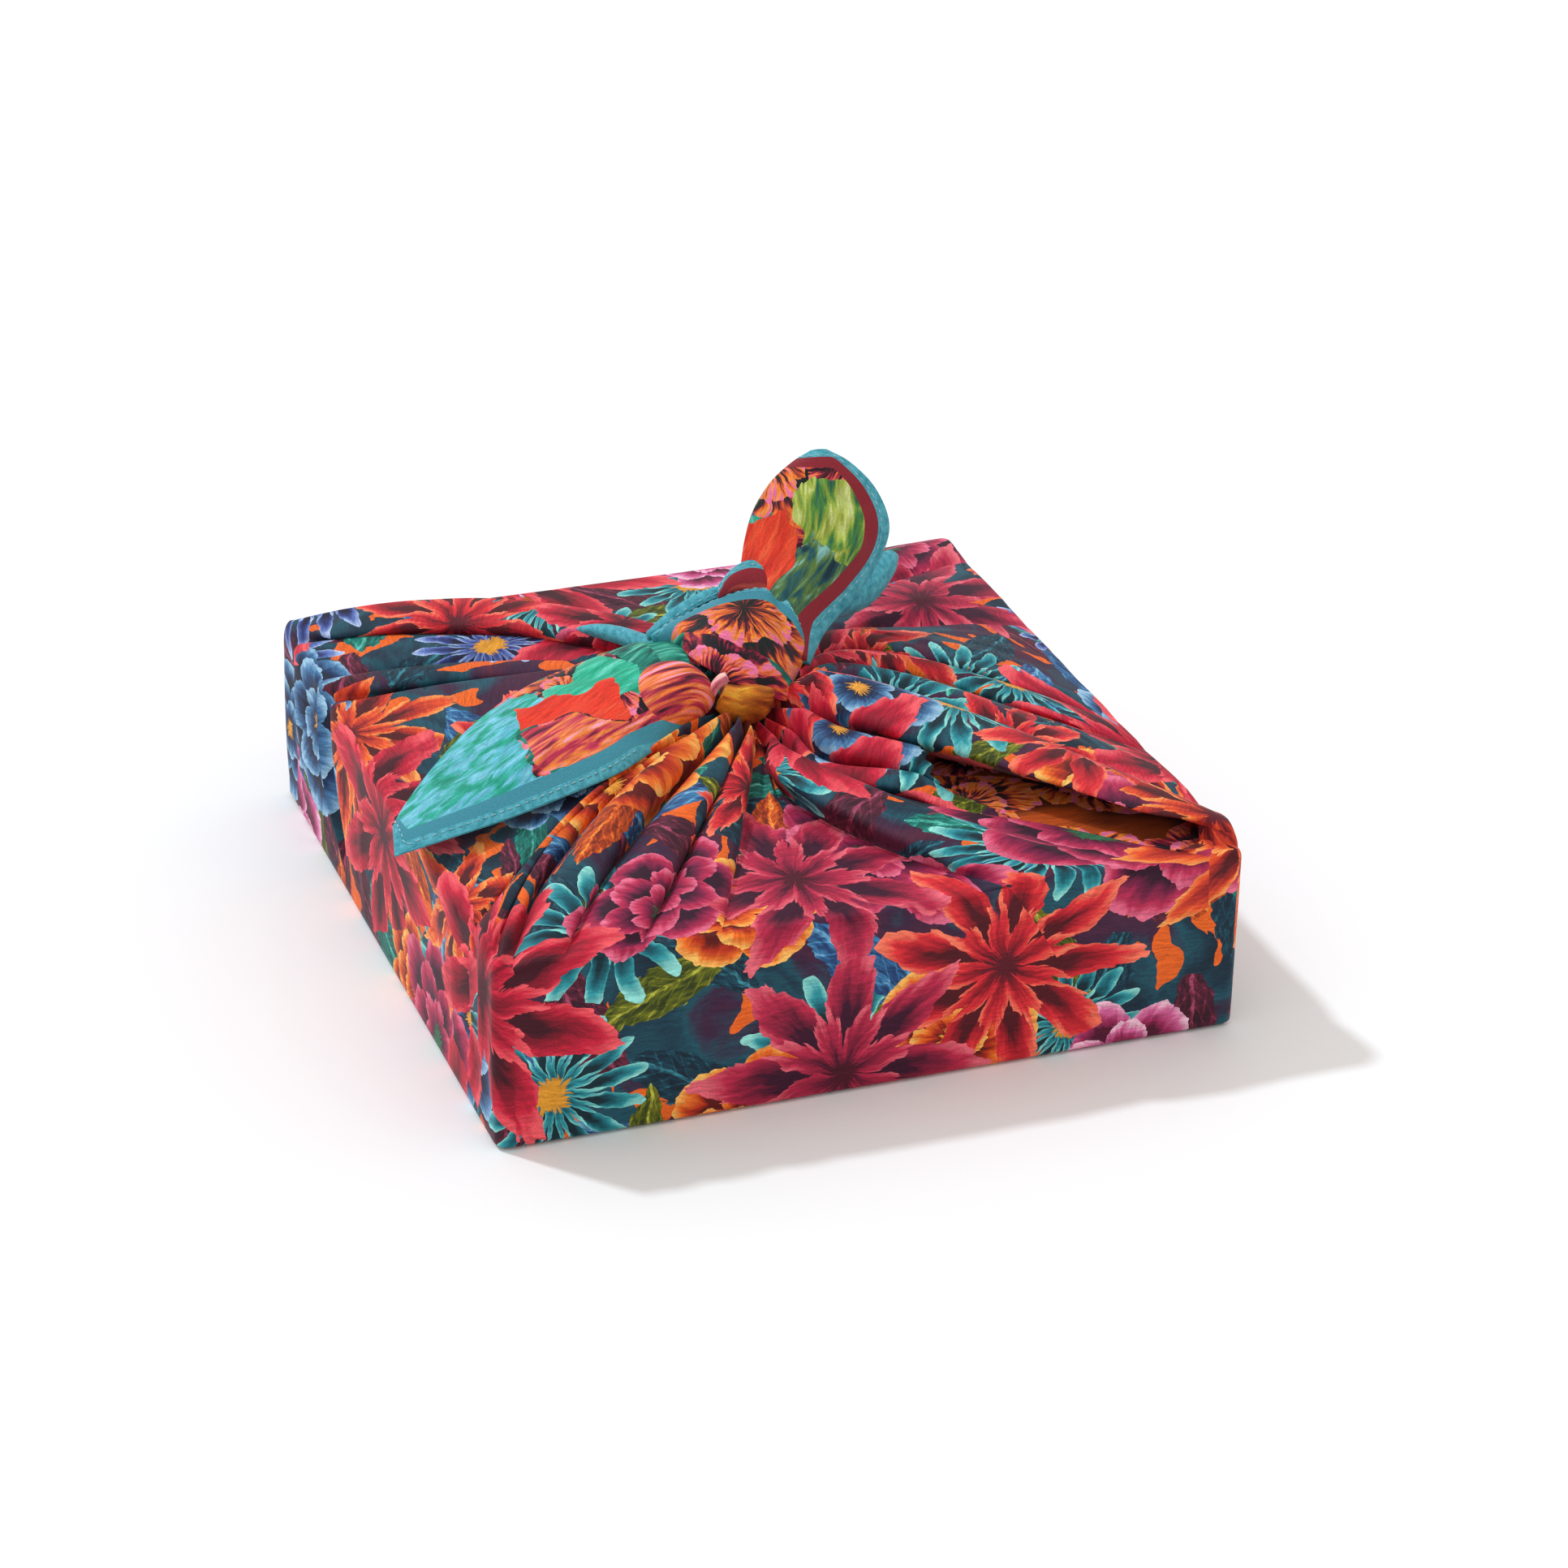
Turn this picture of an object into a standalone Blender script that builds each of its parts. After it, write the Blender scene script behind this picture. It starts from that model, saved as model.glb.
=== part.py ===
"""Furoshiki wrap: one square cotton cloth folded and tied round a flat box. Only the cloth is made.

Origin: middle of the flat underside. X runs along the wide front face to the right, Y to the back, Z up.
Lengths in the tables are millimetres, angles are degrees, and the mesh is in metres.
"""
import math
from collections import namedtuple

import bmesh
import bpy
import numpy as np
from mathutils import Vector

MM = 0.001
WIDE = 250.0           # wrapped body along X
DEEP = 254.0           # wrapped body along Y
LID = 63.0             # height of the flat lid under the folds
EDGE_ROUND = 2.6       # rounding where the cloth turns over the lid's edge
CORNER_ROUND = 4.0     # rounding of the four upright corners
FOOT_ROUND = 1.2       # rounding round the underside
WALL = 2.2             # thickness of the gathered cloth on the lid
SIDE_WALL = 3.2        # thickness of the doubled cloth on the four sides
KNOT_X = 0.0           # where the folds run together
KNOT_Y = 6.0
GATHER = 25.0          # radius at which the folds go in under the knot
FUNNEL_UP = 9.0        # height of the gathered middle under the knot

# Every fold runs from the knot to the rim and on down the side. turn: direction in which it leaves the knot.
# mid_x, mid_y: halfway. rim_x, rim_y: where it goes over the edge. up_knot, up_mid, up_rim: height over the
# lid. bulge: how far it stands out from the side. drift: how far it moves along the side on the way down.
# hook: how far it swings to its left near the rim.
Fold = namedtuple("Fold", "name kind turn mid_x mid_y rim_x rim_y up_knot up_mid up_rim bulge drift hook",
                  defaults=(0,))
FOLDS = [
    Fold("behind the left roll", "valley", 97, -43, 98.5, -104, 127, 8, 2, 1.0, 0, 0),
    Fold("left roll", "ridge", 104, -55, 101, -125, 121, 16, 10, 2.0, 0.6, 0),
    Fold("deep left hollow", "valley", 113, -50, 87, -125, 113, 7, 0.5, 0.0, 0, 1),
    Fold("left band", "ridge", 121, -49, 76, -125, 106, 13, 7, 1.5, 1.2, 6),
    Fold("under the left band", "valley", 130, -57, 66, -125, 81, 7, 1, 0.0, -0.8, 19),
    Fold("thin left pleat", "ridge", 136, -57, 60, -125, 72, 12, 6.5, 4.0, 3.0, 21),
    Fold("under the thin pleat", "valley", 142, -58, 54, -125, 66, 7, 1.2, 0.0, 0.2, 18),
    Fold("coral ridge", "ridge", 150, -58, 47, -125, 59, 17, 9, 1.0, 1.6, 13),
    Fold("left flap high", "slope", 172, -66, 16, -125, 18, 15, 5, 0.0, 0.4, 2),
    Fold("left flap low", "slope", 200, -69, -22, -125, -48, 13, 5, 0.0, 0, 0),
    Fold("olive roll", "ridge", 207, -70, -34, -125, -82, 15, 7, 1.5, 0, 0),
    Fold("beside the olive roll", "valley", 213, -70, -43, -125, -97, 8, 3, 0.0, 0, 0),
    Fold("dark front pleat", "ridge", 219, -71, -53, -125, -106, 16, 10, 6.0, 1.6, 0),
    Fold("front corner crease", "valley", 225, -69, -58, -125, -116, 9, 4, 1.0, -1.8, 0),
    Fold("doubled corner", "ridge", 230, -68, -62, -125, -124, 13, 10, 4.5, 0.8, 0),
    Fold("split in the orange roll", "valley", 235, -66, -66, -119, -127, 12, 8, 0.0, 0, 0),
    Fold("orange roll", "ridge", 241, -62, -69, -113, -127, 16, 12, 1.2, 0, 0),
    Fold("beside the orange roll", "valley", 245, -56, -68, -108, -127, 8, 3.5, 0.0, 0, 0),
    Fold("pink front pleat", "ridge", 250, -54, -80, -99, -127, 15, 10.5, 0.6, 0, 0),
    Fold("beside the pink pleat", "valley", 254, -49, -80, -89, -127, 7, 4, 0.0, 0, 0),
    Fold("red front pleat", "ridge", 258, -42, -80, -76, -127, 12, 8, 0.5, 0, 0),
    Fold("edge of the front flap", "valley", 262, -32, -80, -60, -127, 6, 3, 0.0, 0, 0),
    Fold("front flap", "slope", 267, -14, -82, -22, -127, 5, 3, 0.0, 0, 0),
    Fold("front flap right", "slope", 270, -4, -74, 20, -127, 3, 2, 0.0, 0, 8),
    Fold("long front crease", "valley", 273, 4, -67, 44, -127, 1, 0.4, 0.0, -1.3, 27),
    Fold("maroon pleat", "ridge", 278, 13, -65, 74, -127, 8, 12.5, 1.2, 0.9, 14),
    Fold("inside the maroon pleat", "slope", 285, 28, -66, 96, -127, 4, 4.5, 0.4, 0, 5),
    Fold("lower lip", "valley", 291, 39, -65, 112, -127, 2, 0.6, 0.0, 0, 2, 5),
    Fold("orange inner fold", "ridge", 298, 42, -60, 119, -127, 9, 10.5, 1.5, 0, 1, 3),
    Fold("between inner folds", "valley", 304, 44, -57, 123, -126, 4, 3.5, 2.0, 0, 0, 1),
    Fold("red inner fold", "ridge", 310, 47, -53, 125, -124, 14, 11, 2.5, 0, 0),
    Fold("upper lip", "valley", 322, 52, -47, 125, -121, 8, 3, 2.6, 0, 0),
    Fold("main roll", "ridge", 340, 62, -36, 125, -115, 20, 16.5, 6.0, 0.9, 0),
    Fold("behind the main roll", "valley", 348, 61, -11, 125, -99, 12, 6, 0.6, -0.3, 0),
    Fold("second roll", "ridge", 354, 62, -1, 125, -84, 18, 11.5, 2.4, 0.4, 0),
    Fold("behind the second roll", "valley", 361, 64, 12, 125, -50, 13, 5, 0.3, 0, 0),
    Fold("thin right pleat", "ridge", 367, 66, 18, 125, -40, 18, 10.5, 1.2, 0, 0),
    Fold("behind the thin pleat", "valley", 376, 65, 29, 125, -28, 12, 5, 0.3, 0, 0),
    Fold("orange right pleat", "ridge", 385, 62, 39, 125, -13, 18, 10.5, 1.0, 0, 0),
    Fold("right flap", "valley", 396, 66, 54, 125, 50, 10, 4, 0.4, 0, 0),
    Fold("back right pleat", "ridge", 406, 70, 68, 125, 85, 13, 8.5, 1.2, 0, 0),
    Fold("beside the back corner", "valley", 413, 66, 81, 125, 106, 7, 3.5, 0.3, 0, 0),
    Fold("back corner roll", "ridge", 420, 60, 89, 125, 124, 10, 8, 2.0, 0.6, 0),
    Fold("beside the back flap", "valley", 427, 46, 88, 94, 127, 6, 3, 1.0, 0, 0),
    Fold("back flap right", "slope", 434, 26, 80, 52, 127, 7, 4, 2.5, 0, 0),
    Fold("back flap left", "slope", 446, -10, 84, -34, 127, 7, 4, 2.5, 0, 0),
]
SLOT_FOLDS = ("lower lip", "upper lip")
SLOT_FROM = 0.61       # the open mouth between the two lips, as shares of the way from knot to rim
SLOT_TO = 0.93
SLOT_SLANT = 0.12      # how much later the mouth starts beside the lower lip
SINK_FROM = 0.40       # the folds between the lips dive from here to the mouth
SINK_UP = 0.8          # height to which they dive

# A knotted or loose end, one row per section: its two edges over the lid, then its thickness and its crown.
Section = namedtuple("Section", "ax ay az bx by bz thick crown")
FRONT_TAIL = [
    Section(-4, 24, 22, 2, -2, 14, 15, 2),
    Section(-14, 32, 22, -10, -6, 12, 18, 3),
    Section(-28, 36, 20, -22, -10, 12, 17, 4),
    Section(-46, 34, 18, -36, -20, 12, 10, 5),
    Section(-68, 25, 17, -54, -34, 12, 5, 5),
    Section(-90, 9, 15, -76, -43, 11, 3, 4),
    Section(-110, -12, 13, -98, -49, 9, 2.6, 2.5),
    Section(-126, -31, 10, -119, -54, 8, 2.4, 1),
    Section(-133, -42, 9, -137, -58, 7, 2.0, 0.4),
]
BACK_TAIL = [
    Section(4, 26, 20, 27, 10, 18, 12, 3),
    Section(9, 36, 30, 36, 19, 25, 13, 3),
    Section(13, 42, 40, 50, 27, 33, 11, 5),
    Section(16, 46, 50, 61, 34, 42, 7, 6),
    Section(20, 49, 59, 65, 37, 53, 4.4, 6),
    Section(27, 52, 67, 62, 43, 64, 3.4, 4),
    Section(35, 53, 73, 55, 49, 72, 2.8, 2),
    Section(42, 54, 76, 48, 53, 76, 2.2, 0.5),
]
OVER_BAND = [
    Section(-21, 35, 15, -20, 30, 12, 5, 0.5),
    Section(-14, 35, 27, -13, 17, 18, 9, 2),
    Section(-4, 34, 34, -7, 9, 17, 12, 3),
    Section(6, 32, 38, 1, 1, 14, 13, 4),
    Section(16, 26, 38, 9, -3, 12, 13, 4),
    Section(24, 20, 33, 17, 0, 11, 12, 3),
    Section(28, 24, 22, 22, 8, 12, 10, 2),
]
BACK_BAND = [
    Section(-8, 40, 24, -6, 32, 18, 6, 1),
    Section(0, 42, 38, -2, 30, 26, 7, 2),
    Section(10, 40, 44, 4, 26, 30, 8, 3),
    Section(20, 36, 42, 12, 22, 28, 8, 3),
    Section(27, 32, 32, 20, 20, 22, 7, 2),
    Section(29, 34, 20, 22, 24, 14, 6, 1),
]
UNDER_LOOP = [
    Section(-8, 8, 20, -8, -6, 7, 9, 2),
    Section(2, 6, 22, 1, -11, 5, 13, 3),
    Section(12, 7, 21, 11, -10, 5, 13, 3),
    Section(20, 12, 18, 20, -2, 6, 9, 2),
]
BACK_LOBE = [
    Section(24, 34, 24, 36, 28, 16, 5, 1),
    Section(38, 44, 26, 50, 36, 16, 4, 2),
    Section(52, 52, 30, 62, 44, 20, 3.4, 2),
    Section(62, 58, 32, 69, 52, 25, 2.6, 1),
]
HEART = (2.0, 17.0, 17.0)          # middle of the tight inside of the knot, over the lid
HEART_SIZE = (21.0, 17.0, 15.0)


def rim_length(x, y):
    """Distance along the rim from the back left corner, going by the front."""
    half_x, half_y = WIDE / 2, DEEP / 2
    if x <= -half_x + 0.01:
        return half_y - y
    if y <= -half_y + 1.01:
        return DEEP + x + half_x
    if x >= half_x - 0.01:
        return DEEP + WIDE + y + half_y
    return 2 * DEEP + WIDE + half_x - x


def rim_point(length, inset):
    """Point on the rim, moved in by the inset, with the upright corners rounded."""
    length = length % (2 * (WIDE + DEEP))
    half_x, half_y = WIDE / 2, DEEP / 2
    if length < DEEP:
        x, y = -half_x, half_y - length
    elif length < DEEP + WIDE:
        x, y = length - DEEP - half_x, -half_y
    elif length < 2 * DEEP + WIDE:
        x, y = half_x, length - DEEP - WIDE - half_y
    else:
        x, y = half_x - (length - 2 * DEEP - WIDE), half_y
    core_x = max(-half_x + CORNER_ROUND, min(half_x - CORNER_ROUND, x))
    core_y = max(-half_y + CORNER_ROUND, min(half_y - CORNER_ROUND, y))
    out = np.array([x - core_x, y - core_y])
    out /= np.linalg.norm(out)
    return np.array([core_x, core_y]) + out * (CORNER_ROUND - inset), out


def three_way(share, start, middle, end):
    """Smooth value that takes the three given values at shares 0, 0.5 and 1."""
    return start * (1 - share) * (1 - 2 * share) + 4 * middle * share * (1 - share) + end * share * (2 * share - 1)


def names_between(first, last):
    """Names of the folds from the first up to the last, the last left out."""
    names = [fold.name for fold in FOLDS]
    return names[names.index(first):names.index(last)]


SINKING = names_between(*SLOT_FOLDS)


class Column:
    """One line of the cloth from the knot to the foot, at a share of the way from one fold to the next."""

    def __init__(self, first, second, share):
        def mix(a, b):
            return a + (b - a) * share

        self.turn = mix(first.turn, second.turn + (360 if second.turn < first.turn else 0))
        self.mid = np.array([mix(first.mid_x, second.mid_x), mix(first.mid_y, second.mid_y)])
        start, end = rim_length(first.rim_x, first.rim_y), rim_length(second.rim_x, second.rim_y)
        if end < start:
            end += 2 * (WIDE + DEEP)
        self.length = mix(start, end)
        self.gap = end - start
        rise = crest(first.kind, second.kind, share)
        self.up = [a + (b - a) * rise for a, b in zip(first[7:10], second[7:10])]
        self.sinks = first.name in SINKING and (share > 0 or first.name != SLOT_FOLDS[0])
        self.bulge = mix(first.bulge, second.bulge)
        self.drift = mix(first.drift, second.drift)
        self.hook = mix(first.hook, second.hook)

    def over_lid(self, share, inset):
        """Point on the lid's folds: plan position and height over the lid."""
        turn = math.radians(self.turn)
        start = np.array([KNOT_X + GATHER * math.cos(turn), KNOT_Y + GATHER * math.sin(turn)])
        end, _ = rim_point(self.length, inset)
        ahead = (end - start) / np.linalg.norm(end - start)
        swing = self.hook * math.sin(math.pi * (2 * share - 1)) ** 2 if share > 0.5 else 0.0
        x, y = three_way(share, start, self.mid, end) + swing * np.array([-ahead[1], ahead[0]])
        up = max(three_way(share, *self.up), 0.0)
        if self.sinks:
            dive = max(0.0, min(1.0, (share - SINK_FROM) / (SLOT_FROM - SINK_FROM)))
            up += (SINK_UP - up) * dive * dive * (3 - 2 * dive)
        return x, y, up

    def down_side(self, height, inset):
        """Point on the side at a height over the table."""
        down = 1 - height / LID
        spread = math.sin(math.pi * min(1.0, down + 0.12)) ** 0.7 if down < 0.88 else 0.0
        base, out = rim_point(self.length + self.drift * math.sin(down * math.pi / 2), inset)
        return base + out * self.bulge * spread


def crest(first, second, share):
    """Round on a ridge and sharp in a valley."""
    if first == "valley" and second != "valley":
        return 1 - (1 - share) ** 2
    if second == "valley" and first != "valley":
        return share ** 2
    return share * share * (3 - 2 * share)


def columns(step):
    """Columns at each fold and between folds, at most one step apart on the rim, with the corners kept."""
    corners = []
    for corner in (0.0, DEEP, DEEP + WIDE, 2 * DEEP + WIDE, 2 * (DEEP + WIDE)):
        corners += [corner - CORNER_ROUND, corner, corner + CORNER_ROUND]
    out = []
    marks = {}
    for i, first in enumerate(FOLDS):
        second = FOLDS[(i + 1) % len(FOLDS)]
        marks[first.name] = len(out)
        gap = Column(first, second, 0.0).gap
        start = rim_length(first.rim_x, first.rim_y)
        parts = max(2, round(gap / step))
        shares = {k / parts for k in range(parts)}
        for corner in corners:
            share = (corner - start) / gap
            near = min((abs(share - s) * gap for s in shares | {1.0}), default=9.0)
            if 0 < share < 1 and near > 1.0:
                shares.add(share)
        out += [Column(first, second, share) for share in sorted(shares)]
    return out, marks


LID_SHARES = (0.0, 0.12, 0.25, 0.38, 0.5, 0.61, 0.72, 0.83, 0.93, 1.0)
SIDE_HEIGHTS = (50.0, 35.0, 17.0)


def outer_line(column):
    """Outside of the cloth along a column, from the knot to the foot."""
    line = []
    first = column.over_lid(0.0, EDGE_ROUND)
    for radius, blend in ((0.4, 0.75), (0.72, 0.35)):
        x = KNOT_X + (first[0] - KNOT_X) * radius
        y = KNOT_Y + (first[1] - KNOT_Y) * radius
        line.append((x, y, LID + first[2] + (FUNNEL_UP - first[2]) * blend))
    for share in LID_SHARES:
        x, y, up = column.over_lid(share, EDGE_ROUND)
        line.append((x, y, LID + up))
    rim_up = column.over_lid(1.0, EDGE_ROUND)[2]
    for turn in (45, 90):
        inset = EDGE_ROUND * (1 - math.sin(math.radians(turn)))
        z = LID + rim_up * math.cos(math.radians(turn)) - EDGE_ROUND * (1 - math.cos(math.radians(turn)))
        x, y = column.down_side(min(z, LID), inset)
        line.append((x, y, z))
    for height in SIDE_HEIGHTS:
        x, y = column.down_side(height, 0.0)
        line.append((x, y, height))
    x, y = column.down_side(FOOT_ROUND, 0.0)
    line.append((x, y, FOOT_ROUND))
    x, y = column.down_side(0.0, FOOT_ROUND)
    line.append((x, y, 0.0))
    return line


def under(points, dense, reach):
    """Height of the underside at each plan point: everywhere at least the reach away from the outside."""
    out = []
    for x, y in points:
        apart = (dense[:, 0] - x) ** 2 + (dense[:, 1] - y) ** 2
        near = apart < reach * reach
        out.append(float((dense[near, 2] - np.sqrt(reach * reach - apart[near])).min()))
    return out


def inner_lines(cols, dense):
    """Inside of the cloth, on the same columns."""
    lines = []
    for column in cols:
        plan = []
        first = column.over_lid(0.0, SIDE_WALL + 0.8)
        for radius in (0.4, 0.72):
            plan.append((KNOT_X + (first[0] - KNOT_X) * radius, KNOT_Y + (first[1] - KNOT_Y) * radius))
        for share in LID_SHARES:
            plan.append(column.over_lid(share, SIDE_WALL + 0.8)[:2])
        heights = under(plan, dense, WALL)
        line = [(x, y, z) for (x, y), z in zip(plan, heights)]
        (x, y), _ = rim_point(column.length, SIDE_WALL)
        line.append((x, y, LID - WALL - 1.6))
        line.append((x, y, WALL))
        lines.append(line)
    return lines


def halves(quad, points):
    """The two triangles of a four-cornered cell, split along its shorter diagonal."""
    a, b, c, d = quad
    if math.dist(points[a], points[c]) <= math.dist(points[b], points[d]):
        return [[a, b, c], [a, c, d]]
    return [[a, b, d], [b, c, d]]


def lofted(lines, open_cells, flip):
    """Faces of a closed fan of columns without the open cells, and the edges left bare round the opening."""
    faces = []
    points = [p for line in lines for p in line]
    count, rows = len(lines), len(lines[0])
    for i in range(count):
        j = (i + 1) % count
        for r in range(rows - 1):
            if (i, r) not in open_cells:
                quad = [i * rows + r, i * rows + r + 1, j * rows + r + 1, j * rows + r]
                faces += halves(quad[::-1] if flip else quad, points)
    edges = []
    for i, r in sorted(open_cells):
        j = (i + 1) % count
        sides = {(i, r - 1): (i * rows + r, j * rows + r), (i, r + 1): (j * rows + r + 1, i * rows + r + 1),
                 (i - 1, r): (i * rows + r + 1, i * rows + r), (i + 1, r): (j * rows + r, j * rows + r + 1)}
        edges += [edge for beside, edge in sides.items() if beside not in open_cells]
    return faces, edges


def mouth_cells(marks):
    """Cells of the mesh that are left out for the mouth between the two lips."""
    low, high = marks[SLOT_FOLDS[0]], marks[SLOT_FOLDS[1]]
    cells = set()
    for i in range(low, high):
        start = SLOT_FROM + SLOT_SLANT * (1 - (i - low) / (high - 1 - low))
        for r, (share, after) in enumerate(zip(LID_SHARES, LID_SHARES[1:])):
            if share > start - 0.04 and after < SLOT_TO + 0.01:
                cells.add((i, r + 2))
    return cells


def dense_outside(cols):
    """Many points of the outside, for the underside to keep clear of."""
    fine = []
    for i, column in enumerate(cols):
        a = np.array(outer_line(column)[:-2])
        b = np.array(outer_line(cols[(i + 1) % len(cols)])[:-2])
        steps = np.linspace(0, len(a) - 1, 6 * (len(a) - 1) + 1)
        rows = np.arange(len(a))
        line_a = np.column_stack([np.interp(steps, rows, a[:, k]) for k in range(3)])
        line_b = np.column_stack([np.interp(steps, rows, b[:, k]) for k in range(3)])
        fine += [line_a + (line_b - line_a) * t for t in (0.0, 0.25, 0.5, 0.75)]
    return np.vstack(fine)


def wrap_mesh(step):
    """Hollow shell of the folded cloth, open at the mouth between the two lips."""
    cols, marks = columns(step)
    outer = [outer_line(c) for c in cols]
    inner = inner_lines(cols, dense_outside(cols))
    mouth = mouth_cells(marks)
    points = [p for line in outer for p in line]
    faces, outer_edges = lofted(outer, mouth, False)
    shift = len(points)
    points += [p for line in inner for p in line]
    inner_faces, inner_edges = lofted(inner, mouth, True)
    faces += [[v + shift for v in face] for face in inner_faces]
    for (a, b), (c, d) in zip(outer_edges, inner_edges):
        faces += halves([b, a, c + shift, d + shift], points)
    rows, inner_rows = len(outer[0]), len(inner[0])
    faces.append([i * rows + rows - 1 for i in range(len(cols))][::-1])
    faces.append([shift + i * inner_rows + inner_rows - 1 for i in range(len(cols))])
    top, low = len(points), len(points) + 1
    points += [(KNOT_X, KNOT_Y, LID + FUNNEL_UP), (KNOT_X, KNOT_Y, LID + FUNNEL_UP - WALL)]
    for i in range(len(cols)):
        j = (i + 1) % len(cols)
        faces.append([top, i * rows, j * rows])
        faces.append([low, shift + j * inner_rows, shift + i * inner_rows])
    return points, faces


def smooth_rows(sections, per_row):
    """Rows between the given sections, on a smooth curve through them."""
    rows = np.array(sections, float)
    padded = np.vstack([2 * rows[0] - rows[1], rows, 2 * rows[-1] - rows[-2]])
    out = []
    for i in range(1, len(rows)):
        a, b, c, d = padded[i - 1:i + 3]
        for t in np.arange(per_row) / per_row:
            out.append(0.5 * (2 * b + (c - a) * t + (2 * a - 5 * b + 4 * c - d) * t ** 2
                              + (3 * b - a - 3 * c + d) * t ** 3))
    out.append(rows[-1])
    return np.array(out)


def end_mesh(sections, per_row, around):
    """Closed band or loose end through its sections: round along its edges, crowned across."""
    rows = smooth_rows(sections, per_row)
    middles = (rows[:, 0:3] + rows[:, 3:6]) / 2
    along = np.gradient(middles, axis=0)
    points = []
    before = np.array([0.0, -0.5, 1.0])
    for row, way in zip(rows, along):
        a, b = row[0:3], row[3:6]
        across = (b - a) / 2
        face = np.cross(way, across)
        face /= np.linalg.norm(face) * (1 if face @ before > 0 else -1)
        before = face
        for k in range(around):
            turn = 2 * math.pi * k / around
            u = math.cos(turn)
            lift = row[7] * (1 - u * u) + row[6] / 2 * math.sin(turn) * abs(math.sin(turn)) ** 0.25
            points.append(tuple((a + b) / 2 + across * u + face * lift + np.array([0, 0, LID])))
    faces = []
    for r in range(len(rows) - 1):
        for k in range(around):
            n = (k + 1) % around
            faces.append([r * around + k, r * around + n, (r + 1) * around + n, (r + 1) * around + k])
    last = (len(rows) - 1) * around
    faces.append(list(range(around))[::-1])
    faces.append([last + k for k in range(around)])
    return points, faces


def heart_mesh(rings, around):
    """Tight inside of the knot."""
    points = [(HEART[0], HEART[1], LID + HEART[2] - HEART_SIZE[2])]
    for r in range(1, rings):
        tilt = math.pi * r / rings
        for k in range(around):
            turn = 2 * math.pi * k / around
            points.append((HEART[0] + HEART_SIZE[0] * math.sin(tilt) * math.cos(turn),
                           HEART[1] + HEART_SIZE[1] * math.sin(tilt) * math.sin(turn),
                           LID + HEART[2] - HEART_SIZE[2] * math.cos(tilt)))
    points.append((HEART[0], HEART[1], LID + HEART[2] + HEART_SIZE[2]))
    faces = []
    for k in range(around):
        n = (k + 1) % around
        faces.append([0, 1 + n, 1 + k])
        for r in range(rings - 2):
            faces.append([1 + r * around + k, 1 + r * around + n, 1 + (r + 1) * around + n, 1 + (r + 1) * around + k])
        faces.append([1 + (rings - 2) * around + k, 1 + (rings - 2) * around + n, len(points) - 1])
    return points, faces


def solid(name, points, faces):
    """Mesh object from millimetre points, with its faces turned outwards."""
    mesh = bpy.data.meshes.new(name)
    mesh.from_pydata([Vector(p) * MM for p in points], [], faces)
    mesh.validate()
    corners = np.array([mesh.vertices[v].co[:] for t in triangles(mesh) for v in t]).reshape(-1, 3, 3)
    if np.linalg.det(corners).sum() < 0:
        mesh.flip_normals()
    made = bpy.data.objects.new(name, mesh)
    bpy.context.scene.collection.objects.link(made)
    return made


def triangles(mesh):
    mesh.calc_loop_triangles()
    return [t.vertices[:] for t in mesh.loop_triangles]


def joined(body, others):
    """Body and the others as one solid, and the others removed."""
    for other in others:
        other.hide_render = True
        other.display_type = "WIRE"
        union = body.modifiers.new("join " + other.name, "BOOLEAN")
        union.operation = "UNION"
        union.solver = "EXACT"
        union.object = other
    graph = bpy.context.evaluated_depsgraph_get()
    mesh = bpy.data.meshes.new_from_object(body.evaluated_get(graph))
    body.modifiers.clear()
    body.data = mesh
    for other in others:
        bpy.data.objects.remove(other)


def fill_pockets(mesh):
    """Fills the closed pockets deep in the knot, by leaving out every surface but the outermost."""
    body = bmesh.new()
    body.from_mesh(mesh)
    left = set(body.verts)
    pieces = []
    while left:
        piece = {left.pop()}
        edge = set(piece)
        while edge:
            edge = {e.other_vert(v) for v in edge for e in v.link_edges} - piece
            piece |= edge
        left -= piece
        pieces.append(piece)
    pieces.sort(key=len)
    for pocket in pieces[:-1]:
        bmesh.ops.delete(body, geom=list(pocket), context="VERTS")
    body.to_mesh(mesh)
    body.free()


def cotton():
    """Printed cotton sateen, as one plain middle colour."""
    material = bpy.data.materials.new("cotton sateen")
    material.use_nodes = True
    surface = material.node_tree.nodes["Principled BSDF"]
    surface.inputs["Base Color"].default_value = (0.30, 0.045, 0.07, 1)
    surface.inputs["Roughness"].default_value = 0.6
    return material


def build():
    for old in list(bpy.data.objects):
        bpy.data.objects.remove(old)
    cloth = solid("cloth", *wrap_mesh(12.5))
    ends = [
        solid("heart", *heart_mesh(6, 12)),
        solid("over band", *end_mesh(OVER_BAND, 2, 12)),
        solid("back band", *end_mesh(BACK_BAND, 2, 12)),
        solid("under loop", *end_mesh(UNDER_LOOP, 2, 12)),
        solid("front tail", *end_mesh(FRONT_TAIL, 2, 16)),
        solid("back tail", *end_mesh(BACK_TAIL, 2, 16)),
        solid("back lobe", *end_mesh(BACK_LOBE, 2, 12)),
    ]
    joined(cloth, ends)
    fill_pockets(cloth.data)
    cloth.data.materials.clear()
    cloth.data.materials.append(cotton())
    cloth.data.name = "cloth"


build()
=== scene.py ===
import math
from collections import namedtuple
from functools import partial

import bmesh
import bpy
import numpy as np
from mathutils import Matrix, Vector, noise


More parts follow.
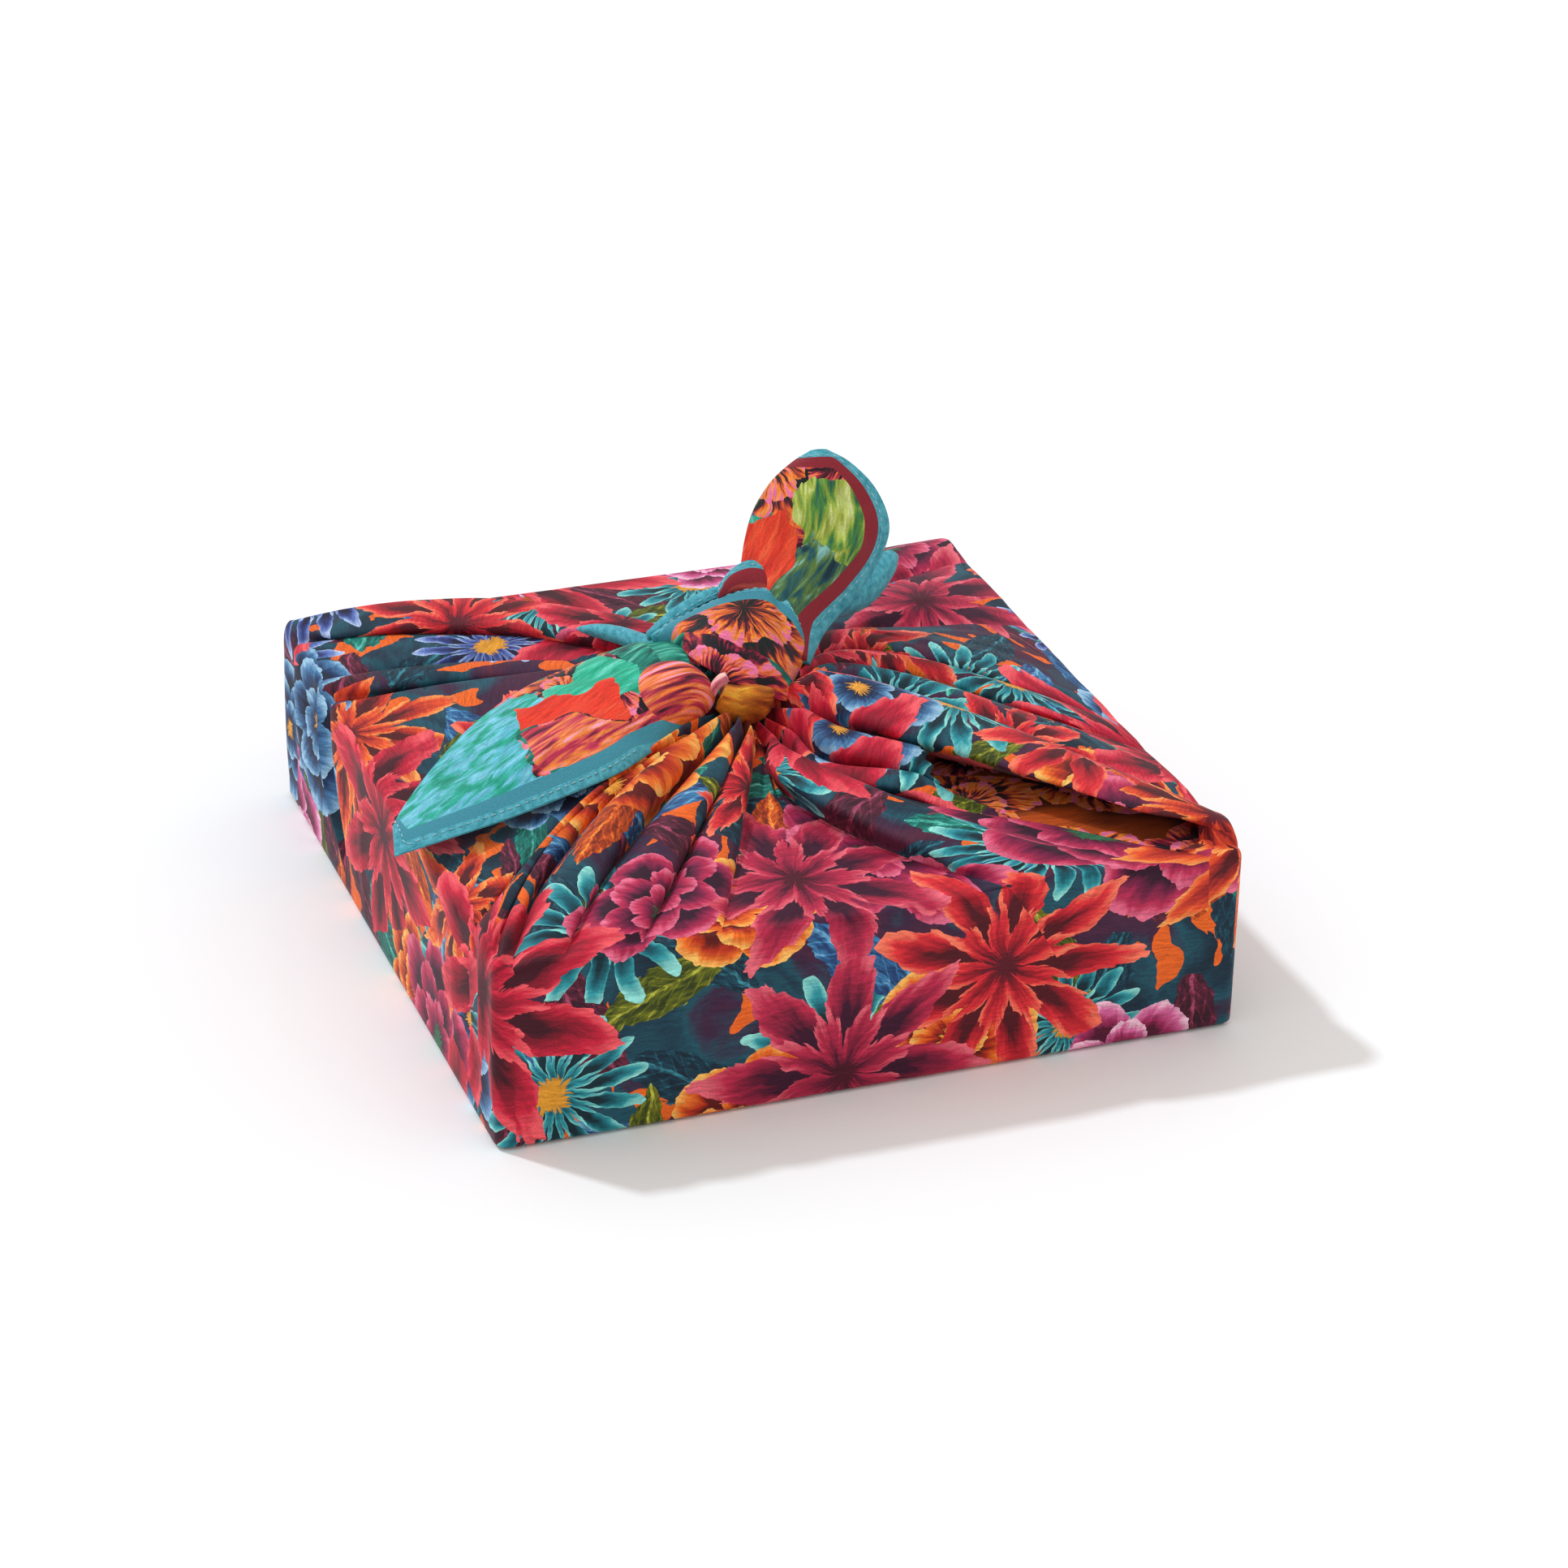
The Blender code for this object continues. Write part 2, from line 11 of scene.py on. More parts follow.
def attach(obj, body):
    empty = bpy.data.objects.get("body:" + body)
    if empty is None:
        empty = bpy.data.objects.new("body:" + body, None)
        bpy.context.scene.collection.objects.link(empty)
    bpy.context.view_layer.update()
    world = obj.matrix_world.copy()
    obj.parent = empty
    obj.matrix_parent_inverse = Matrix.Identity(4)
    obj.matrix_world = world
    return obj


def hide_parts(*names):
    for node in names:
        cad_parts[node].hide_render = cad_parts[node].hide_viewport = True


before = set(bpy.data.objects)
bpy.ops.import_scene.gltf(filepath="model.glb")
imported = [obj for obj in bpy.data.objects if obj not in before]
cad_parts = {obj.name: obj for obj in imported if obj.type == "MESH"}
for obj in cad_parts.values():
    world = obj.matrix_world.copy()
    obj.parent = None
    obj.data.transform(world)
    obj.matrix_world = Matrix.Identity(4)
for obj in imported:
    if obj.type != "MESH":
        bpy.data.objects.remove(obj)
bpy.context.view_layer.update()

MM = 0.001
CLOTH_THICK = 0.45      # thickness of the sateen
WIDE = 250.0            # wrapped body along X
DEEP = 254.0            # wrapped body along Y
LID = 63.0              # height of the flat lid under the folds
EDGE_ROUND = 2.6
CORNER_ROUND = 4.0
FOOT_ROUND = 1.2
RIM_STOPS = (0, DEEP, DEEP + WIDE, 2 * DEEP + WIDE, 2 * DEEP + 2 * WIDE)    # the corners, along the rim
ON_EDGE = 0.01          # a fold this near an edge of the lid goes over it
ON_FRONT_EDGE = 1.01
KNOT_X = 0.0
KNOT_Y = 6.0
GATHER = 25.0           # radius at which the folds go in under the knot
FUNNEL_UP = 9.0         # height at which they close; two rings on the way there: radius and rise as shares
FUNNEL = ((0.35, 0.8), (0.7, 0.4))
COLUMN_STEP = 3.0       # between columns of the cloth, along the rim
COLUMNS_LEAST = 7       # to a fold
CURL_IN = 0.25          # shares of the way in which a curl grows and goes again
CURL_OUT = 0.12
CROWN_UP = 7            # a higher pleat is laid flat from its crown, and a lower one from its middle
SHEAR_ROWS = 14
UNDERSIDE_AT = 400.0    # where the underside and the layers under the folds lie on the flat cloth
HEM_WIDE = 4.4          # turned teal hem, from the edge to just past its stitches
BORDER_WIDE = 9.5       # plain border inside the hem
HEM_FADE = 0.25         # how fast the hem comes out of the knot
TIP_NARROW = 1.5        # how much narrower the hem and border look round a tip
STITCH_IN = 3.0         # stitches from the hem's edge
STITCH_PITCH = 3.0
STITCH_LONG = 2.1
THREAD_WIDE = 0.5
CORNER_FROM = 680       # the free corners lie beyond this on the flat cloth, with their own part of the print
TEAL_FROM = 800         # beyond this the border is teal, and dark red before it
PAINTED_SHADE_FROM = 980       # beyond this lies the inside of the knot's band, where the border is painted near-black navy as painted shade
MERGE = 1e-6            # points nearer than this, in metres, are one
FLOOR_Z = -0.0006
KEY_FROM = (-0.42, 0.46, 0.78)
CAMERA_TURN = -20.83
CAMERA_RISE = 27.41
CAMERA_ROLL = 1.338
CAMERA_AIM = (0.0236, 0.0230, 0.03)
CAMERA_BACK = 1.560


def table(kind, *rows):
    """The rows of a table with named columns."""
    return [kind(*row) for row in rows]


# Every fold runs from the knot to the rim and on down the side. turn: direction in which it leaves the knot.
# mid_x, mid_y: halfway. rim_x, rim_y: where it goes over the edge. up_knot, up_mid, up_rim: height over the
# lid. bulge: how far it stands out from the side. drift: how far it moves along the side on the way down.
# hook, belly: how far it swings to its left near the rim and near the knot. curl: how far a ridge swells over
# the valley that follows it, or over the one before it where the value is negative.
Fold = namedtuple("Fold", "name kind turn mid_x mid_y rim_x rim_y up_knot up_mid up_rim bulge drift hook "
                  "curl belly", defaults=(0, 0, 0, 0, 0))
FOLDS = table(
    Fold,
    ("behind the left roll", "valley", 97, -43, 98.5, -104, 127, 7, 1, 1),
    ("left roll", "ridge", 104, -55, 101, -125, 121, 23, 13, 4.5, 0.8, 0, 0, 12),
    ("deep left hollow", "valley", 113, -50, 87, -125, 113, 3, 0, 0, -0.4, 1),
    ("left band", "ridge", 121, -49, 76, -125, 106, 13, 8.5, 2.5, 2.4, 6, 0, 6),
    ("under the left band", "valley", 130, -57, 66, -125, 81, 3, 0, 0, -1.8, 19),
    ("thin left pleat", "ridge", 136, -57, 60, -125, 72, 12, 8.5, 5, 4.6, 21, 0, 5),
    ("under the thin pleat", "valley", 142, -58, 54, -125, 66, 4, 0, 0, -1, 18),
    ("coral ridge", "ridge", 150, -58, 47, -125, 59, 18, 10, 1, 2, 13),
    ("left flap high", "slope", 172, -66, 16, -125, 18, 15, 5, 0, 0.4, 2),
    ("left flap low", "slope", 200, -69, -20, -125, -46, 13, 5, 0),
    ("olive roll", "ridge", 207, -72, -37, -125, -82, 16, 8, 1.5, 0.8, 0, 0, 3),
    ("front corner crease", "valley", 213, -76, -48, -125, -97, 5, 1, 0, -2.6, 5),
    ("doubled corner left", "ridge", 218, -79, -53, -125, -111, 14, 9, 4.5, 1.2, 0, 0, 1),
    ("nick in the doubled corner", "valley", 222, -80, -56, -125, -118, 9, 5, 2, 0.2),
    ("doubled corner right", "ridge", 227, -81, -58.5, -125, -124, 12, 8.5, 3.5, 0.8, 0, 0, 1.5),
    ("beside the doubled corner", "valley", 232, -80, -62, -119, -127, 5, 1, 0, -1),
    ("orange roll", "ridge", 240, -70, -67, -112, -127, 18, 14, 1.6, 0.4, 0, 0, 4),
    ("beside the orange roll", "valley", 246, -62, -66, -103, -127, 4, 1.2, 0, -0.6),
    ("pink front pleat", "ridge", 251, -54, -77, -93, -127, 16, 11.5, 0.8, 0.3, 0, 0, 4),
    ("beside the pink pleat", "valley", 256, -46, -76, -78, -127, 4, 1.2, 0, -0.4),
    ("red front pleat", "ridge", 260, -40, -78, -66, -127, 13, 8.5, 0.5, 0, 0, 0, 3),
    ("edge of the front flap", "valley", 264, -30, -79, -52, -127, 5, 1.6, 0, -0.3),
    ("front flap", "slope", 268, -14, -82, -20, -127, 5, 3, 0),
    ("front flap right", "slope", 271, -4, -74, 20, -127, 3, 2, 0, 0, 8),
    ("long front crease", "valley", 273, 4, -67, 44, -127, 1, 0, 0, -2.2, 27),
    ("maroon pleat", "ridge", 278, 13, -65, 70, -127, 9, 13, 2.6, 1.6, 24, 0, -8),
    ("inside the maroon pleat", "slope", 285, 28, -66, 96, -127, 4, 4.5, 0.4, 0, 5),
    ("lower lip", "valley", 288, 37, -66, 112, -127, 1, 0.2, 0, 0, 2, 5, 0, -8),
    ("orange inner fold", "ridge", 292, 42, -61.5, 119, -127, 9, 8.5, 1.5, 0, 1, 3, -6, -11),
    ("between inner folds", "valley", 300, 44, -56, 123, -126, 1, 0.3, 1, 0, 0, 1, 0, -6),
    ("red inner fold", "ridge", 308, 46, -53.5, 125, -124, 14, 12, 2.5, 0, 0, 0, -5, -6),
    ("upper lip", "valley", 322, 51, -47, 125, -121, 3, 6.5, 4.5),
    ("main roll", "ridge", 340, 62, -36, 125, -115, 22, 17, 7, 0.9, 0, 0, -12),
    ("behind the main roll", "valley", 348, 61, -11, 125, -99, 11, 4, 0.4, -0.4),
    ("second roll", "ridge", 354, 62, -1, 125, -84, 18, 12, 2.4, 0.5, 0, 0, -4),
    ("behind the second roll", "valley", 361, 64, 12, 125, -50, 11, 3.5, 0.3),
    ("thin right pleat", "ridge", 367, 66, 18, 125, -40, 18, 11, 1.2, 0, 0, 0, -3),
    ("behind the thin pleat", "valley", 376, 65, 29, 125, -28, 11, 4, 0.3),
    ("orange right pleat", "ridge", 385, 62, 39, 125, -13, 18, 11, 1, 0, 0, 0, -3),
    ("right flap", "valley", 396, 66, 54, 125, 50, 9, 3, 0.4),
    ("back right pleat", "ridge", 406, 70, 68, 125, 85, 13, 8.5, 1.2, 0, 0, 0, -3),
    ("beside the back corner", "valley", 413, 66, 81, 125, 106, 7, 2.5, 0.3, -0.4),
    ("back corner roll", "ridge", 420, 60, 89, 125, 124, 10, 8, 2, 0.8, 0, 0, -2),
    ("beside the back flap", "valley", 427, 46, 88, 94, 127, 6, 2.5, 1, -0.4),
    ("back flap right", "slope", 434, 26, 80, 52, 127, 7, 4, 2.5),
    ("back flap left", "slope", 446, -10, 84, -34, 127, 7, 4, 2.5),
)
LIPS = ("lower lip", "upper lip")
MOUTH_FROM = 0.42       # the open mouth between the lips, as shares of the way from knot to rim
MOUTH_TO = 0.95
MOUTH_SLANT = 0.30      # how much later it opens at the lower lip
SINK_FROM = 0.46        # where the inner folds start to sink and where they have come down to the lower flap
SINK_TO = 0.62
SINK_UP = 0.8

# Soft troughs pressed into the cloth along lines between two places, and ridges where deep is negative.
Crease = namedtuple("Crease", "name ax ay az bx by bz wide deep")
CREASES = table(
    Crease,
    ("long front crease", 40, -127, 68, 78, -127, 25, 2.6, 1.5),
    ("ridge over it", 47, -127, 68, 90, -127, 27, 5.5, -0.9),
    ("under the pink pleat", -84, -127, 66, -67, -127, 42, 4.5, 1.3),
    ("under the red pleat", -62, -127, 66, -50, -127, 38, 4, 1.1),
    ("crossing dents", -90, -127, 60, -44, -127, 50, 4, 0.7),
    ("under the orange roll", -106, -127, 66, -100, -127, 30, 4, 1.2),
    ("pull at the front right", 70, -127, 28, 112, -127, 48, 7, 0.9),
    ("pull at the front foot", -30, -127, 6, 20, -127, 30, 9, 0.5),
    ("crease by the left corner", -125, 84, 66, -125, 112, 12, 3, 1.4),
    ("hollow of the left side", -125, 30, 66, -125, 56, 4, 10, 1.1),
    ("pull of the left side", -125, -40, 66, -125, -84, 10, 6, 0.9),
    ("crease by the right corner", 125, -96, 66, 125, -112, 8, 3.5, 1.3),
    ("hollow of the right side", 125, 0, 66, 125, 24, 6, 10, 1),
    ("pull of the right side", 125, 60, 66, 125, 98, 10, 6, 0.9),
    ("crease of the back side", 70, 127, 66, 98, 127, 8, 3.5, 1.3),
    ("pull of the back side", -20, 127, 66, -70, 127, 6, 8, 0.9),
    ("dent in the front flap", -16, -100, 66, 14, -128, 64, 5, 0.7),
    ("dent in the left flap", -70, 10, 70, -124, -20, 64, 7, 0.9),
    ("pull across the left flap", -84, 34, 70, -124, 10, 64, 5, -0.9),
    ("dent in the right flap", 76, 62, 68, 122, 70, 64, 6, 0.9),
    ("dent in the back flap", 10, 100, 68, 26, 124, 66, 6, 0.8),
)

# A knotted or loose end, one row per section: its two edges over the lid, then its thickness and its crown.
Section = namedtuple("Section", "ax ay az bx by bz thick crown")
FRONT_TAIL = table(
    Section,
    (-13, 22, 24, -15, -4, 15, 12, 2),
    (-18, 29, 24, -20, -8, 12, 15, 3),
    (-28, 36, 20, -22, -10, 12, 17, 4),
    (-46, 34, 18, -36, -20, 12, 10, 5),
    (-68, 25, 17, -54, -34, 12, 5, 5),
    (-90, 9, 15, -76, -43, 11, 3, 4),
    (-110, -12, 13, -98, -49, 9, 2.2, 2.5),
    (-126, -31, 10, -119, -54, 8, 1.8, 1),
    (-133, -42, 9, -137, -58, 7, 1.4, 0.4),
)
BACK_TAIL = table(
    Section,
    (4, 26, 20, 27, 10, 18, 12, 3),
    (9, 36, 30, 36, 19, 25, 13, 3),
    (13, 42, 40, 50, 27, 33, 11, 5),
    (16, 46, 50, 61, 34, 42, 7, 6),
    (20, 49, 59, 65, 37, 53, 4.4, 6),
    (27, 52, 67, 62, 43, 64, 3.4, 4),
    (35, 53, 73, 55, 49, 72, 2.8, 2),
    (42, 54, 76, 48, 53, 76, 2.2, 0.5),
)
OVER_BAND = table(
    Section,
    (-23, 29, 27, -23, 27, 26, 4, 0.3),
    (-13, 31, 30, -18, 20, 27, 6, 1),
    (-4, 33, 33, -15, 8, 27, 7, 1.6),
    (5, 34, 36, -10, 0, 25, 8, 2),
    (13, 34, 38, -2, -5, 21, 8, 2),
    (18, 32, 39, 6, -6, 17, 7, 1.5),
    (20, 29, 38, 13, -4, 13, 6, 0.8),
    (23, 24, 37, 17, 3, 11, 6, 0.8),
    (24, 20, 33, 20, 9, 13, 6, 1.5),
    (25, 20, 26, 22, 14, 15, 6, 1.5),
)
BACK_BAND = table(
    Section,
    (3, 35, 40, 1, 30, 36, 3, 0.2),
    (9, 39, 43, 5, 31, 38, 4, 0.5),
    (15, 40, 45, 11, 31, 38, 4, 0.6),
    (20, 39, 44, 16, 29, 37, 4, 0.6),
    (25, 36, 40, 19, 27, 35, 4, 0.6),
    (27, 32, 37, 22, 25, 32, 4, 0.5),
    (28, 29, 32, 22, 23, 28, 3, 0.4),
)
UNDER_LOOP = table(
    Section,
    (-8, 4, 20, -12, -6, 15, 7, 2),
    (-4, 3, 18, -8, -9, 11, 10, 3.5),
    (2, 3, 16, -2, -10, 10, 11, 4),
    (9, 3, 14, 4, -8, 10, 9, 3),
    (14, 4, 12, 10, -3, 12, 6, 1.5),
)
BACK_LOBE = table(
    Section,
    (40, 36, 27, 41, 36, 22, 4, 0.5),
    (52, 44, 28, 52, 40, 19, 4, 2.5),
    (63, 52, 30, 64, 46, 20, 3.6, 3),
    (70, 57, 32, 74, 54, 25, 3, 2),
    (74, 60, 32, 78, 60, 28, 2.4, 0.5),
)
LEFT_HEM = table(
    Section,
    (-38, 70, 14, -37, 68, 13, 2, 0.2),
    (-32, 60, 19, -33, 55, 16, 4, 0.6),
    (-27, 50, 22, -29, 44, 18, 4.4, 0.8),
    (-23, 39, 24, -26, 34, 20, 4.4, 0.8),
    (-20, 28, 26, -22, 25, 23, 4, 0.4),
)
NUB = table(
    Section,
    (-14, -3, 20, -12, -5, 19, 3, 0.5),
    (-13, -4, 24, -11, -6, 22, 3.6, 0.8),
    (-11, -5, 27, -9, -7, 24, 3.6, 0.8),
    (-9, -6, 28, -8, -7, 25, 2.4, 0.5),
)
# A narrow strip of cloth behind the knot's band, coloured near-black navy as painted shade for the hollow
# under the band's lifted edge.
BAND_STRIP_IN_PAINTED_SHADE = table(
    Section,
    (-24, 31, 28, -24, 29, 26, 2, 0.2),
    (-14, 35, 33, -13, 31, 28, 2.4, 0.4),
    (-3, 37, 37, -3, 32, 31, 2.6, 0.5),
    (6, 38, 38, 6, 33, 34, 2.6, 0.5),
    (14, 37, 38, 14, 33, 36, 2.2, 0.3),
)
TAIL_ROLL = table(
    Section,
    (-41, 4, 19, -40, -14, 13, 3, 0.8),
    (-35, 8, 24, -34, -14, 12, 7, 3),
    (-28, 9, 27, -27, -12, 12, 9, 4),
    (-20, 8, 27, -20, -9, 13, 9, 4),
    (-14, 4, 24, -15, -6, 14, 7, 3),
    (-11, 0, 20, -12, -4, 16, 4, 1),
)
TAIL_CREASES = table(
    Crease,
    ("hollow over the roll", -40, 18, 87, -12, 2, 86, 4, 3.4),
    ("hollow under the roll", -70, -24, 76, -36, -16, 76, 4, 2.6),
    ("pull along the tail", -116, -28, 74, -56, 0, 82, 5.5, 2.6),
    ("fold along the tail", -96, -34, 76, -52, -12, 81, 4.5, -2.8),
    ("pull by the knot", -62, 16, 82, -36, 12, 86, 4, 2.4),
)
BAND_CREASES = table(
    Crease,
    ("fold from the left", -24, 23, 91, 4, 7, 91, 2.6, 4.4),
    ("roll over the fold", -20, 26, 93, 4, 15, 95, 3, -1.6),
    ("second fold", -14, 8, 89, 0, 3, 88, 2, 2),
    ("fold to the tip", 0, 8, 91, 16, 4, 86, 2.4, 2.2),
)
BACK_CREASES = table(
    Crease,
    ("fold across", 23, 36, 105, 50, 36, 121, 3, 3),
    ("roll across", 31, 33, 102, 54, 33, 116, 5, -3.6),
    ("upper fold", 38, 38, 131, 60, 36, 125, 4, 1.8),
    ("fold at the foot", 28, 30, 92, 44, 28, 104, 3, 2),
)
# The ends: points between sections and round them, where each lies on the flat square, which edge is hemmed
# (a, b or all), how far along it the hem comes out of the knot, and whether its tip is hemmed.
End = namedtuple("End", "sections per_row around flat_x flat_y hem hem_from tip creases")
ENDS = table(
    End,
    (UNDER_LOOP, 4, 24, 300, 700, "", 0, False, []),
    (BACK_BAND, 5, 32, 100, 760, "a", 0, False, []),
    (BAND_STRIP_IN_PAINTED_SHADE, 5, 24, 200, 1000, "a", 0, False, []),
    (OVER_BAND, 6, 48, 200, 840, "a", 0, False, BAND_CREASES),
    (FRONT_TAIL, 8, 56, 420, 900, "b", 42, True, TAIL_CREASES),
    (TAIL_ROLL, 5, 36, 800, 900, "", 0, False, []),
    (BACK_LOBE, 5, 28, 640, 900, "all", 0, False, []),
    (BACK_TAIL, 8, 48, 520, 760, "b", 14, True, BACK_CREASES),
    (LEFT_HEM, 5, 20, 700, 900, "all", 0, False, []),
    (NUB, 4, 16, 360, 700, "", 0, False, []),
)


# The print is a generic garden pattern, laid from dark leaves up to bright flowers. spacing: millimetres from
# one motif to the next. size, long, wide: shares of the spacing. share: how many of the places have a motif.
# point: 1 gives pointed petals and 3 broad ones. cut: how deep they are parted. ragged, brush: roughness of
# their edges and strokes. hatch: strokes to a petal. colours: from base to tip.
Leaf = namedtuple("Leaf", "spacing shift_x shift_y long wide share colours other_colours")
LEAVES = table(
    Leaf,
    (46, 0.3, 0.7, 0.62, 0.2, 0.95, ("#081420", "#0E2A3A", "#17485A", "#3A8A9A"),
     ("#1C0A18", "#3E1428", "#6A2038", "#A84868")),
    (56, 5.1, 3.3, 0.58, 0.18, 0.75, ("#082C2C", "#0E5A52", "#17887A", "#62C8B4"),
     ("#141F40", "#22487A", "#3E80B0", "#86BEDC")),
    (50, 9.7, 1.9, 0.52, 0.15, 0.42, ("#3C140C", "#963214", "#DC5A18", "#F89C3A"),
     ("#181E0C", "#3E4A12", "#747818", "#BCBE46")),
)
Flower = namedtuple("Flower", "spacing shift_x shift_y spread size share petals whorls point cut ragged "
                    "brush hatch heart_size heart corner colours other_colours")
FLOWERS = table(
    Flower,
    (82, 2.85, 8.35, 0.75, 0.42, 0.6, 15, 2, 2, 0.72, 0.1, 1.1, 3, 0.2, "#D8932A", 0,
     ("#141638", "#2C3A78", "#5C74B8", "#B4C8EC"), ("#0A2A34", "#12606E", "#2E98A2", "#90DCD2")),
    (88, 7.45, 6.1, 0.7, 0.42, 0.5, 6, 3, 2.8, 0.26, 0.1, 1.3, 8, 0.1, "#E8A03A", 0,
     ("#5C100C", "#BC3014", "#EC7022", "#FBC062"), ("#10182F", "#223C66", "#487AA6", "#9CC6E2")),
    (96, 4.15, 2.4, 0.7, 0.43, 0.5, 6, 3, 2.2, 0.3, 0.12, 1.3, 8, 0.12, "#2E6B4A", 0,
     ("#54102E", "#A82C60", "#DA6AA0", "#F8C8DC"), ("#300A24", "#7A1842", "#B82850", "#E46C8C")),
    (104, 6.25, 4.75, 0.75, 0.44, 0.55, 9, 2, 1.2, 0.66, 0.36, 1.8, 8, 0.09, "#5A1020", 0,
     ("#500A18", "#A81426", "#DC2C34", "#FA7E60"), ("#521018", "#B02A22", "#E45026", "#F8A054")),
    (118, 0.35, 0.62, 0.75, 0.46, 0.66, 8, 2, 1.3, 0.62, 0.34, 1.8, 8, 0.1, "#4A0E22", 0,
     ("#40081A", "#8E1028", "#C81C3A", "#F25C64"), ("#3A0A28", "#861838", "#BC2648", "#E86878")),
    (46, 0.2, 0.4, 0.8, 0.62, 0.85, 4, 2, 2, 0.3, 0.16, 3.2, 13, 0, "#2A2420", 1,
     ("#18141A", "#3E1626", "#B02446", "#EC7428", "#F07AA8"),
     ("#14201E", "#5A1A2C", "#D8562A", "#F09030", "#E8709C")),
)
GROUND = [(0.28, "#0C1824"), (0.40, "#153244"), (0.50, "#1A5060"), (0.60, "#3A1E3C"), (0.72, "#5A2036")]

# Painted areas of the corners and of the folded-in flap, in millimetres on the flat cloth, with ragged edges.
Patch = namedtuple("Patch", "name from_x to_x from_y to_y ragged stroke_x stroke_y colours")
UNDER = table(
    Patch,
    ("emerald of the corners", 0, 1200, 680, 980, 0, 90, 420, ("#0C3C3C", "#11685C", "#1C927A", "#70C8B0")),
    ("brown of the folded-in flap", 560, 1400, 980, 1400, 0, 22, 34,
     ("#2A100A", "#5E2410", "#9A4416", "#C8541C")),
    ("violet of the back corner", 572, 590, 715, 760, 6, 60, 400,
     ("#3A3A66", "#6A5A92", "#D8702A", "#EE9A50")),
)
OVER_FLOWERS = table(
    Patch,
    ("dark red of the back band", 60, 190, 700, 820, 0, 40, 300,
     ("#5E1A22", "#86262C", "#A03A34", "#B04844")),
    # painted shade: near-black navy for the hollow behind the knot's band
    ("inside of the band", 190, 280, 985, 1020, 0, 60, 300, ("#0A121C", "#121E2C", "#1A2C3C", "#24405A")),
    ("brown loop", 290, 304, 680, 720, 3, 60, 260, ("#4A1E10", "#9A4A16", "#D07A1E", "#D8A02C")),
    ("red side of the loop", 304, 335, 680, 720, 3, 60, 260, ("#4A1414", "#A82A1E", "#D84A1E", "#EC7A2E")),
    ("pink nub", 350, 400, 680, 720, 0, 40, 500, ("#B04A60", "#E88A9A", "#F8C0B8", "#F8D8C8")),
    ("sky of the front corner", 478, 620, 864, 906, 16, 90, 330,
     ("#17917A", "#2AA690", "#68BCD0", "#7CC8DA")),
    ("near sky", 500, 620, 896, 960, 16, 90, 330, ("#17917A", "#2AA690", "#5CB4CC", "#7CC8DA")),
    ("emerald", 446, 474, 872, 902, 6, 60, 300, ("#128A6A", "#1EA884", "#3ABC9C", "#6AD0B8")),
    ("vermilion", 462, 494, 882, 908, 10, 30, 120, ("#C8281A", "#E0321E", "#E83E26", "#F05A3A")),
    ("striped roll", 780, 860, 860, 940, 0, 50, 420, ("#2A1820", "#B82C4A", "#F08030", "#F79AC0")),
    ("striped edge", 425, 496, 910, 940, 8, 50, 380, ("#4A1826", "#C83454", "#F08834", "#F8A0C0")),
    ("lime of the back corner", 556, 586, 756, 800, 10, 70, 330,
     ("#1E5A54", "#4E8A3A", "#A8B84A", "#D0DC90")),
    ("olive", 515, 558, 750, 800, 10, 90, 330, ("#15323E", "#245A60", "#5A7A34", "#7AB0A8")),
    ("golden", 518, 540, 725, 750, 3, 40, 220, ("#C07A18", "#D89A24", "#E0A82C", "#F0B040")),
    ("red", 538, 570, 725, 752, 5, 40, 220, ("#C82A1E", "#DC3A24", "#E4482C", "#F06038")),
)


def rim_length(x, y):
    """Distance along the rim from the back left corner, going by the front."""
    half_x, half_y = WIDE / 2, DEEP / 2
    if x <= ON_EDGE - half_x:
        return half_y - y
    if y <= ON_FRONT_EDGE - half_y:
        return DEEP + x + half_x
    if x >= half_x - ON_EDGE:
        return DEEP + WIDE + y + half_y
    return 2 * DEEP + WIDE + half_x - x


def rim_point(length, inset):
    """Point on the rim, moved in by the inset, with the upright corners rounded, and the way out from it."""
    half = np.array([WIDE, DEEP]) / 2
    length %= RIM_STOPS[-1]
    point = half * [np.interp(length, RIM_STOPS, ends) for ends in ((-1, -1, 1, 1, -1), (1, -1, -1, 1, 1))]
    core = np.clip(point, CORNER_ROUND - half, half - CORNER_ROUND)
    out = (point - core) / np.linalg.norm(point - core)
    return core + out * (CORNER_ROUND - inset), out


def three_way(share, start, middle, end):
    """Smooth value that takes the three given values at shares 0, 0.5 and 1."""
    back = 1 - share
    return start * back * (1 - 2 * share) + 4 * middle * share * back + end * share * (2 * share - 1)


def eased(share):
    """Soft step from 0 to 1."""
    share = max(0.0, min(1.0, share))
    return share * share * (3 - 2 * share)


def crest(first, second, share):
    """Round on a ridge and sharp in a valley."""
    if first == "valley" and second != "valley":
        return math.sin(share * math.pi / 2) ** 0.7
    if second == "valley" and first != "valley":
        return 1 - math.cos(share * math.pi / 2) ** 0.7
    return share * share * (3 - 2 * share)


def between_lips():
    """Names of the folds from the lower lip to the one before the upper lip."""
    names = [fold.name for fold in FOLDS]
    return names[names.index(LIPS[0]):names.index(LIPS[1])]


